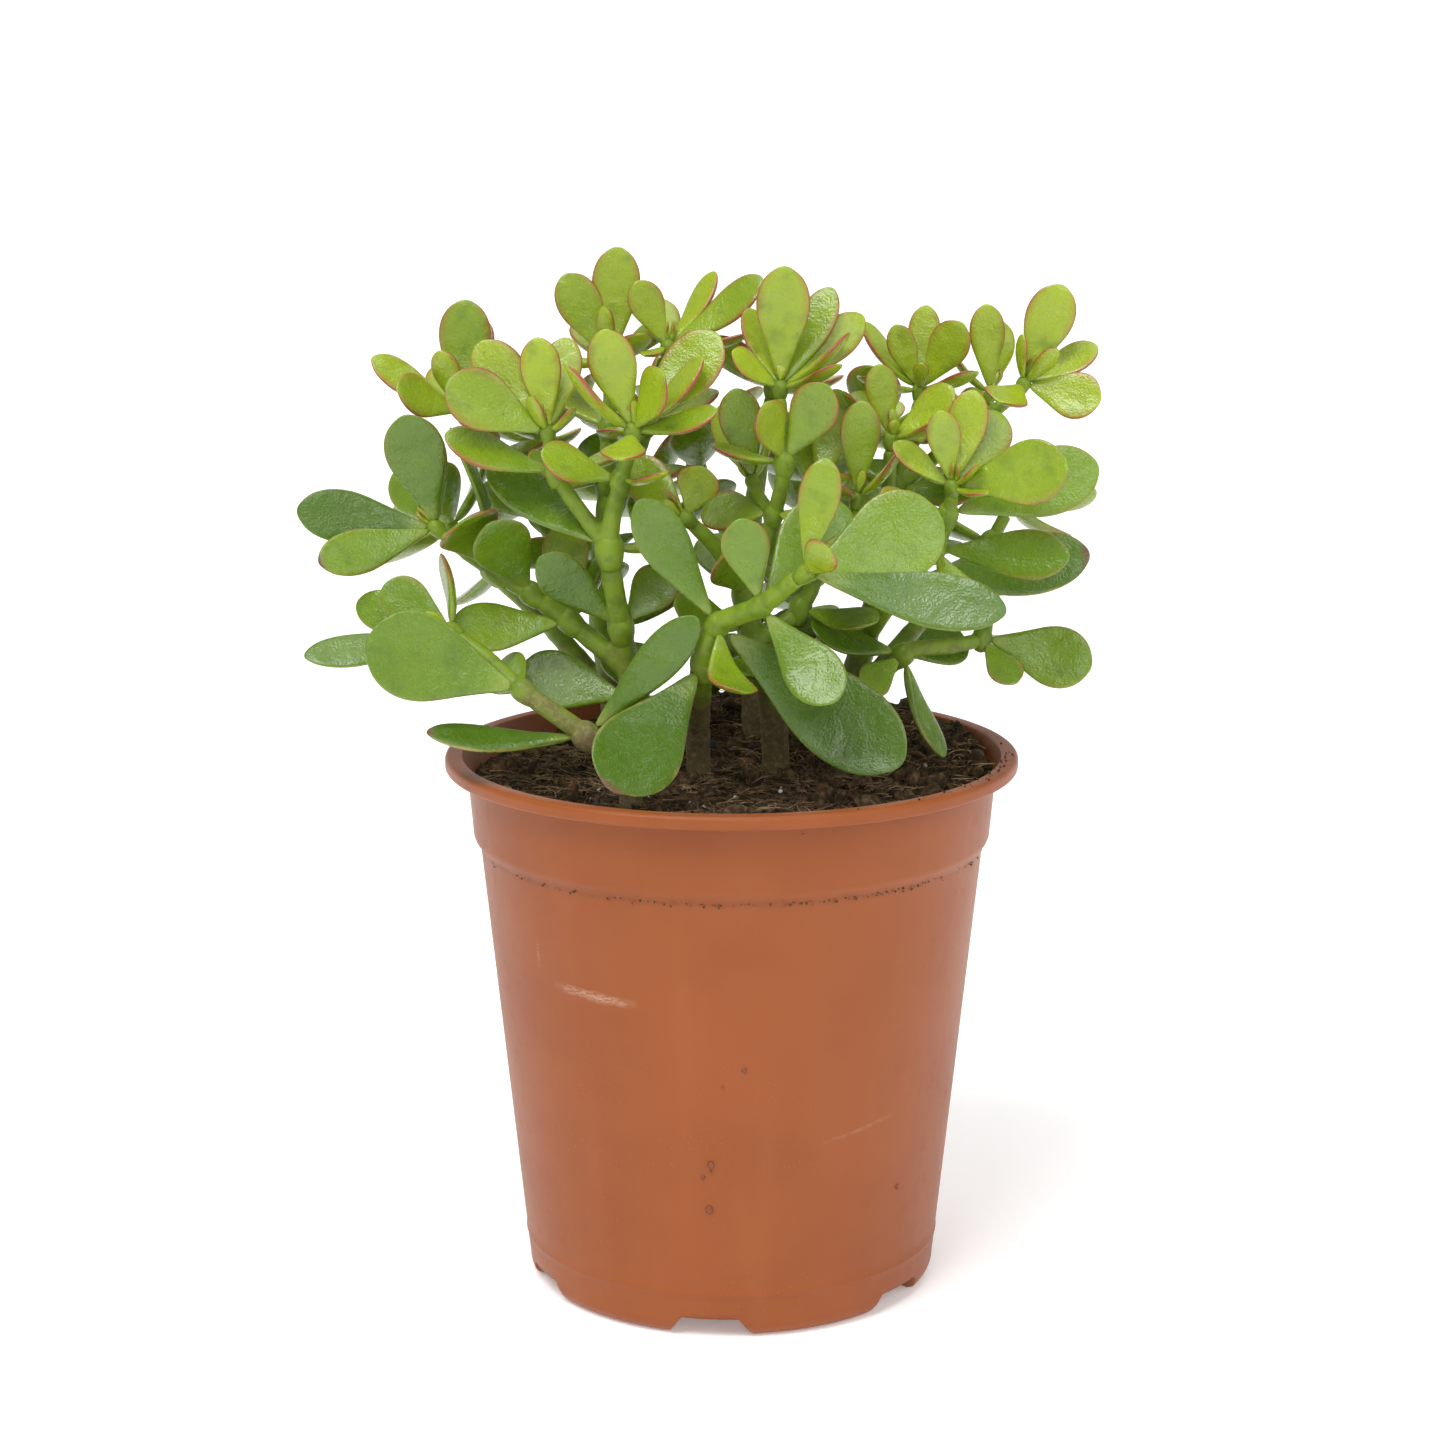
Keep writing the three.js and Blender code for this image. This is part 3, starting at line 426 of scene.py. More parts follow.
soil_paint, p = new_paint("peat_soil")
place = p.spot(axis)
tone = p.colour((0.040, 0.024, 0.012))
tone = tone.blend((0.012, 0.008, 0.005), p.noise(place, 180, 4).within(0.45, 0.68))
tone = tone.blend((0.170, 0.105, 0.052), p.noise(place, 420, 4, 0.7).within(0.5, 0.68) * 0.85)
strands = p.noise(place, 260, 2, stretch=(1, 5, 1)).within(0.6, 0.68)
strands = strands + p.noise(place, 240, 2, stretch=(6, 1, 1)).within(0.61, 0.69)
tone = tone.blend((0.200, 0.125, 0.062), strands * 0.65)
bumps = p.noise(place, 900, 5, 0.7) * 1.4 + p.noise(place, 300, 3) + strands * 0.4
surface(
    p, Base_Color=tone, Roughness=0.85, Normal=p.bump(bumps, 0.5 * mm, 0.9), Specular_IOR_Level=0.25
)

bm = spun([(soil_radius * i / soil_rings, 0) for i in range(soil_rings + 1)], soil_steps)
for vert in bm.verts:
    vert.co.z = soil_top(*(vert.co - axis).xy)
step_out = collar_radius - collar_taper - wall
borders = [(step_out, step_z + 3 * mm), (step_out - collar_step, step_z)]
borders += [(foot_radius - wall, floor_corner_z)]
for out, low in borders:
    border = [edge for edge in bm.edges if edge.is_boundary]
    made = bmesh.ops.extrude_edge_only(bm, edges=border)["geom"]
    for vert in (item for item in made if isinstance(item, bmesh.types.BMVert)):
        off = (vert.co - axis).xy.normalized() * (out - soil_gap)
        vert.co = axis + Vector((off.x, off.y, low))
bmesh.ops.holes_fill(bm, edges=[edge for edge in bm.edges if edge.is_boundary])
bmesh.ops.recalc_face_normals(bm, faces=bm.faces)
soil = new_piece("peat_soil", bm, soil_paint)
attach(soil, "root")
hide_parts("soil")

# ------------------------------------------------------------------ what lies on the soil
# Loose clods of peat, pale coir fibres, white perlite, blue-grey charcoal and reddish chips of bark,
# all part of the bought mix, and left lying where it was poured.

lump_reach = 0.97
fibre_reach = 0.96
fibre_count = 1900
lip_crumbs = 60
step_crumbs = 190


def soil_spot(reach, lift=0.0):
    """A random place on the soil, within a share of its radius."""
    out = soil_radius * reach * math.sqrt(random.random())
    turned = random.uniform(0, math.tau)
    x, y = out * math.cos(turned), out * math.sin(turned)
    return axis + Vector((x, y, soil_top(x, y) + lift))


def lump(bm, spot, size, stretch, rough, fine=1):
    """One rough lump, turned at random."""
    turned = Euler([random.uniform(0, math.tau) for _ in range(3)]).to_matrix().to_4x4()
    squeeze = Matrix.Diagonal((*(size * share for share in stretch), 1))
    matrix = Matrix.Translation(spot) @ turned @ squeeze
    made = bmesh.ops.create_icosphere(bm, subdivisions=fine, radius=0.5, matrix=matrix)["verts"]
    for vert in made:
        off = vert.co - spot
        vert.co = spot + off * (1 + rough * noise.noise(vert.co / size * 1.9))


def scatter(name, paint, count, small, large, stretch=(1, 1, 0.8), rough=0.7, fine=1):
    """Lays many lumps over the soil as one piece; most are near the small size."""
    bm = bmesh.new()
    for _ in range(count):
        size = small + (large - small) * random.random() ** 2.2
        lump(bm, soil_spot(lump_reach, 0.12 * size), size, stretch, rough, fine)
    piece = new_piece(name, bm, paint)
    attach(piece, "root")


def grit_paint(name, plain, spots, roughness, scale, bump):
    """A dull mineral or woody grain with darker or paler spots."""
    paint, p = new_paint(name)
    place = p.spot(axis)
    tone = p.colour(plain).blend(spots, p.noise(place, scale, 4, 0.65).within(0.42, 0.68))
    bumps = p.noise(place, 3 * scale, 4, 0.7)
    surface(
        p, Base_Color=tone, Roughness=roughness, Normal=p.bump(bumps, bump, 0.8), Specular_IOR_Level=0.3
    )
    return paint


random.seed(11)
clod_paint = grit_paint("peat_clods", (0.042, 0.025, 0.012), (0.175, 0.105, 0.050), 0.92, 420, 0.3 * mm)
fibre_paint = grit_paint("coir_fibre", (0.115, 0.068, 0.032), (0.42, 0.280, 0.150), 0.8, 90, 0.05 * mm)
perlite_paint = grit_paint("perlite", (0.72, 0.70, 0.64), (0.36, 0.30, 0.22), 0.85, 800, 0.15 * mm)
coal_paint = grit_paint("charcoal", (0.016, 0.017, 0.019), (0.045, 0.047, 0.050), 0.5, 500, 0.4 * mm)
bark_paint = grit_paint("bark_chips", (0.160, 0.065, 0.032), (0.060, 0.030, 0.015), 0.8, 420, 0.4 * mm)

scatter("peat_crumbs", clod_paint, 1700, 0.7 * mm, 2.6 * mm)
scatter("peat_clods_large", clod_paint, 170, 2.4 * mm, 8 * mm, rough=1.0, fine=2)
scatter("perlite_grains", perlite_paint, 80, 0.5 * mm, 1.7 * mm, rough=0.5)
scatter("charcoal_lumps", coal_paint, 26, 2.2 * mm, 6.2 * mm, rough=1.1, fine=2)
scatter("bark_chips", bark_paint, 34, 2 * mm, 7 * mm, stretch=(1, 0.5, 0.35), rough=0.8, fine=2)

# A strand one unit long, three-sided and tapered, of which every fibre is a bent copy.
bm = bmesh.new()
bmesh.ops.create_cone(bm, cap_ends=True, segments=3, radius1=0.5, radius2=0.2, depth=1)
upright = [edge for edge in bm.edges if abs(edge.verts[0].co.z - edge.verts[1].co.z) > 0.5]
bmesh.ops.subdivide_edges(bm, edges=upright, cuts=5)
strand = bpy.data.meshes.new("strand")
bm.to_mesh(strand)
bm.free()


def fibre(bm, spot, length, thick, bend, tilt):
    """One copy of the strand, laid down in a random direction with a sideways bend."""
    count = len(bm.verts)
    bm.from_mesh(strand)
    bm.verts.ensure_lookup_table()
    turned = random.uniform(0, math.tau)
    ahead = Vector((math.cos(turned), math.sin(turned), tilt)).normalized()
    aside = ahead.cross(Vector((0, 0, 1))).normalized()
    above = aside.cross(ahead)
    for vert in bm.verts[count:]:
        share = vert.co.z
        arch = length * (0.25 - share * share)
        off = aside * (vert.co.x * thick + bend * arch) + above * (vert.co.y * thick + 0.25 * arch)
        vert.co = spot + ahead * share * length + off


bm = bmesh.new()
for _ in range(fibre_count):
    spot = soil_spot(fibre_reach, 0.7 * mm)
    length = random.uniform(3, 11) * mm
    thick = random.uniform(0.25, 0.65) * mm
    bend = random.uniform(-1.1, 1.1)
    tilt = random.uniform(-0.25, 0.3)
    fibre(bm, spot, length, thick, bend, tilt)
fibres = new_piece("coir_fibres", bm, fibre_paint)
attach(fibres, "root")

# ------------------------------------------------------------------ crumbs on the pot
# Bits of peat that were spilt on the lip, and dust that has stuck in the corner under the collar.


def crumb_turn(middle, spread, share):
    """A turn from the front in degrees: near the middle one for a share of the crumbs."""
    return random.gauss(middle, spread) if random.random() < share else random.uniform(0, 360)


def crumb(bm, degrees, out, high, size):
    """One crumb stuck to the pot, at a turn from the front, a radius and a height."""
    turned = math.radians(degrees)
    spot = axis + Vector((out * math.sin(turned), -out * math.cos(turned), high))
    lump(bm, spot, size, (1, 1, 0.7), 0.7)


random.seed(5)
bm = bmesh.new()
for _ in range(lip_crumbs):
    degrees = crumb_turn(62, 16, 0.8)
    out = rim_radius - random.uniform(0.9, 4.6) * mm
    size = (0.2 + 0.8 * random.random() ** 3) * mm
    crumb(bm, degrees, out, rim_z + 0.25 * size, size)
for _ in range(step_crumbs):
    degrees = crumb_turn(25, 30, 0.6)
    out = wall_top + random.uniform(0.1, 0.5) * mm
    size = random.uniform(0.2, 0.7) * mm
    low = step_z - random.uniform(0, 1.3) * mm
    crumb(bm, degrees, out, low, size)
crumbs = new_piece("spilt_crumbs", bm, clod_paint)
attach(crumbs, "root")

# ------------------------------------------------------------------ the stems
# Seven rooted stems, fleshy and round. They are woody and grey-brown at the soil and green higher up,
# with swollen joints where leaves grow or have dropped, and side shoots that fork off them.

stem_buried = 16 * mm
stem_sides = 14
stem_step = 2.2 * mm
stem_voxel = 0.75 * mm

# Each row is a run of [x, y, z, radius] in millimetres from the middle of the rim's top. The first
# run of a stem starts in the soil and the others fork off an earlier one.
stem_runs = {
    "stem_left": [
        [[-23, -12, -8, 4.2], [-25, -13, 4, 3.9], [-30, -15, 27, 3.7], [-32, -18, 40, 3.4],
            [-35, -25, 64, 3.1], [-32, -28, 82, 2.5], [-28, -30, 95, 2.1]],
        [[-35, -25, 64, 2.6], [-48, -25, 82, 2.3], [-51, -25, 89, 2.1], [-52, -25, 95, 1.9]],
        [[-30, -15, 27, 3.3], [-47, -14, 41, 3.1], [-58, -13, 49, 3], [-68, -12, 55, 2.7],
            [-84, -6, 65, 2.2]],
    ],
    "stem_low_left": [
        [[-28, -42, -8, 3.6], [-30, -42, 2, 3.4], [-41, -42, 13, 3.2], [-59, -41, 26, 2.8],
            [-70, -32, 34, 2.4], [-78, -27, 39, 2.1]],
    ],
    "stem_front": [
        [[-9, 2, -8, 3.9], [-10, -8, 8, 3.8], [-8, -37, 33, 3.5], [-4, -42, 45, 3.3],
            [8, -50, 52, 3], [18, -58, 61, 2.5]],
    ],
    "stem_middle": [
        [[14, 12, -8, 4.6], [12, 5, 12, 4.2], [6, -12, 34, 3.6], [4, -10, 48, 3.2],
            [-4, -14, 62, 2.6], [-12, -18, 71, 2.2]],
        [[4, -10, 48, 2.6], [12, -16, 72, 2.4], [15, -20, 88, 2.2], [14, -10, 105, 2]],
        [[6, -12, 34, 3], [20, -9, 44, 2.6], [26, -8, 60, 2.4], [25, -6, 74, 2]],
        [[26, -8, 60, 2.2], [33, -12, 67, 2], [36, -15, 74, 1.9]],
        [[12, -16, 72, 2], [6, -9, 80, 1.8]],
    ],
    "stem_right": [
        [[36, 8, -8, 4.8], [34, 6, 10, 4.4], [40, 2, 34, 3.8], [43, 2, 50, 3.2], [45, -2, 70, 2.6],
            [46, -5, 90, 2.1]],
        [[43, 2, 50, 2.8], [49, 14, 76, 2.5], [56, 24, 101, 2.1]],
        [[49, 14, 76, 2.4], [66, 16, 90, 2.2], [84, 15, 104, 2]],
        [[66, 16, 90, 2], [76, 22, 100, 1.8]],
        [[40, 2, 34, 3], [50, -12, 52, 2.8], [58, -24, 64, 2.6], [61, -32, 75, 2.3], [62, -35, 81, 2]],
        [[34, 6, 10, 3.4], [50, -8, 30, 2.8], [64, -4, 32, 2.5], [74, 0, 34, 2.2], [76, 2, 43, 1.8]],
        [[34, 6, 10, 3.4], [54, 26, 30, 2.9], [74, 38, 48, 2.5], [84, 43, 64, 2.1]],
    ],
    "stem_back_left": [
        [[-34, 24, -8, 4.6], [-36, 25, 10, 4.3], [-40, 27, 38, 3.7], [-38, 29, 70, 3], [-37, 30, 92, 2.5],
            [-36, 30, 109, 2.1]],
        [[-40, 27, 38, 3], [-58, 25, 66, 2.6], [-72, 22, 84, 2.3], [-79, 20, 95, 2]],
        [[-39, 28, 58, 2.6], [-27, 24, 88, 2.3], [-20, 20, 114, 2]],
        [[-36, 25, 10, 3.5], [-58, 40, 32, 2.9], [-74, 44, 46, 2.5], [-84, 44, 58, 2.1]],
        [[-40, 27, 38, 2.8], [-52, 46, 62, 2.5], [-58, 54, 82, 2.1]],
    ],
    "stem_back": [
        [[8, 42, -8, 4.8], [7, 44, 12, 4.4], [5, 46, 45, 3.6], [8, 46, 76, 2.9], [12, 44, 100, 2.2]],
        [[7, 44, 12, 3.6], [-14, 64, 34, 3], [-28, 76, 54, 2.4], [-32, 80, 62, 2.1]],
        [[5, 46, 45, 3], [-6, 62, 66, 2.6], [-16, 70, 84, 2.1]],
        [[5, 46, 45, 3], [28, 58, 62, 2.6], [44, 64, 84, 2.1]],
        [[7, 44, 12, 3.6], [22, 68, 32, 3], [34, 86, 50, 2.2]],
    ],
}


def from_rim(x, y, z):
    """A place in the frame from millimetres measured at the middle of the rim's top."""
    return Vector((axis.x + x * mm, axis.y + y * mm, rim_z + z * mm))


def smooth_run(points, radii, step):
    """Rows of (place, radius), a step apart, on a smooth curve through a run of points."""
    ends = [points[0] * 2 - points[1], *points, points[-1] * 2 - points[-2]]
    rows = []
    for k in range(len(points) - 1):
        before, here, there, after = ends[k : k + 4]
        count = max(2, round((there - here).length / step))
        for i in range(count):
            t = i / count
            bend = (2 * before - 5 * here + 4 * there - after) * t * t
            swing = (3 * here - before - 3 * there + after) * t * t * t
            at = (2 * here + (there - before) * t + bend + swing) / 2
            rows.append((at, radii[k] + (radii[k + 1] - radii[k]) * t))
    rows.append((points[-1], radii[-1]))
    return rows


def rod(bm, rows, sides):
    """A closed round rod through rows of (place, radius), square to its run all the way."""
    count = len(bm.verts)
    last = len(rows) - 1
    made = bmesh.ops.create_cone(bm, cap_ends=True, segments=sides, radius1=1, radius2=1, depth=1)
    upright = {edge for vert in made["verts"] for edge in vert.link_edges if abs(edge.calc_length() - 1) < 1e-4}
    upright = [edge for edge in upright if abs(edge.verts[0].co.z - edge.verts[1].co.z) > 0.5]
    bmesh.ops.subdivide_edges(bm, edges=upright, cuts=last - 1)
    bm.verts.ensure_lookup_table()
    aside = Vector((1, 0, 0))
    axes = []
    for k in range(last + 1):
        ahead = (rows[min(k + 1, last)][0] - rows[max(k - 1, 0)][0]).normalized()
        aside = (aside - ahead * aside.dot(ahead)).normalized()
        axes.append((aside, ahead.cross(aside)))
    added = bm.verts[count:]
    for vert in added:
        k = round((vert.co.z + 0.5) * last)
        at, radius = rows[k]
        vert.co = at + (axes[k][0] * vert.co.x + axes[k][1] * vert.co.y) * radius
    return added


def with_joints(rows):
    """Swells a rod's rows at the joints, and pinches it just above each."""
    swell_at, swell_length = 1.6 * mm, 1.2 * mm
    pinch_at, pinch_length = 3.8 * mm, 1.0 * mm
    grown = []
    since = random.uniform(0, 8) * mm
    spacing = random.uniform(8, 12) * mm
    for k, (at, radius) in enumerate(rows):
        since += (at - rows[max(k - 1, 0)][0]).length
        if since > spacing:
            since -= spacing
            spacing = random.uniform(9, 17) * mm
        swell = 0.06 * math.exp(-((since - swell_at) / swell_length) ** 2)
        pinch = 0.03 * math.exp(-((since - pinch_at) / pinch_length) ** 2)
        knobbly = 0.03 * noise.noise(at / (5 * mm))
        grown.append((at, radius * (0.97 + swell - pinch + knobbly)))
    return grown


bark_z = rim_z + 14 * mm
stem_paint, p = new_paint("jade_stem")
place = p.spot(axis)
height = p.along(place, "Z")
patch = p.noise(place, 110, 4, 0.6)
woody = (height + (patch - 0.5) * 70 * mm).within(bark_z + 22 * mm, bark_z - 12 * mm)
green = p.colour((0.190, 0.290, 0.016))
green = green.blend((0.130, 0.210, 0.012), p.noise(place, 200, 3).within(0.4, 0.7))
bark = p.colour((0.150, 0.105, 0.050))
bark = bark.blend((0.280, 0.210, 0.115), p.noise(place, 700, 4, 0.7).within(0.45, 0.7))
tone = green.blend((0.13, 0.10, 0.045), p.noise(place, 420, 3, 0.6).within(0.58, 0.7) * 0.5)
tone = tone.blend(bark, woody * 0.95)
rings = p.noise(place, 380, 2, stretch=(0.3, 0.3, 2.2))
furrow = p.noise(place, 500, 3, 0.6, stretch=(1, 1, 0.25)) + rings * 0.7
bumps = furrow * (woody * 0.9 + 0.18) + p.noise(place, 1800, 2) * 0.2
surface(
    p, Base_Color=tone, Roughness=0.42 + woody * 0.35, Normal=p.bump(bumps, 0.35 * mm, 0.7),
    Specular_IOR_Level=0.35, Subsurface_Weight=0.06, Subsurface_Radius=(0.4, 0.8, 0.15),
    Subsurface_Scale=0.001,
)

random.seed(23)
for name, runs in stem_runs.items():
    bm = bmesh.new()
    for branch, run in enumerate(runs):
        points = [from_rim(*row[:3]) for row in run]
        if branch == 0:
            points[0].z = rim_z + soil_height(*(points[0] - axis).xy) - stem_buried
        rod(bm, with_joints(smooth_run(points, [row[3] * mm for row in run], stem_step)), stem_sides)
    bmesh.ops.recalc_face_normals(bm, faces=bm.faces)
    rough = new_piece(name + "_rods", bm)
    join = rough.modifiers.new("grown_together", "REMESH")
    join.mode = "VOXEL"
    join.voxel_size = stem_voxel
    grown = applied(rough)
    bpy.data.objects.remove(rough)
    bm = bmesh.new()
    bm.from_mesh(grown)
    for _ in range(2):
        bmesh.ops.smooth_vert(
            bm, verts=bm.verts, factor=0.4, use_axis_x=True, use_axis_y=True, use_axis_z=True
        )
    stem = new_piece(name.replace("stem_", "jade_stem_"), bm, stem_paint)
    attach(stem, "root")
    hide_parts(name)

# ------------------------------------------------------------------ the leaves
# Thick, smooth, spoon-shaped leaves in opposite pairs, each pair crossed over the one below. They
# grow from a green collar on the stem, and the youngest at a shoot's tip are small and yellow-green.

leaf_thickness = 3
thinnest = 0.5
full_length = 30
leaf_plump = 1.25
stalk_share = 0.07
stalk_least = 0.7
leaf_sides = 8
leaf_rings = 8
root_share = 0.45
plain_turn_and_bow = [0, -0.07]

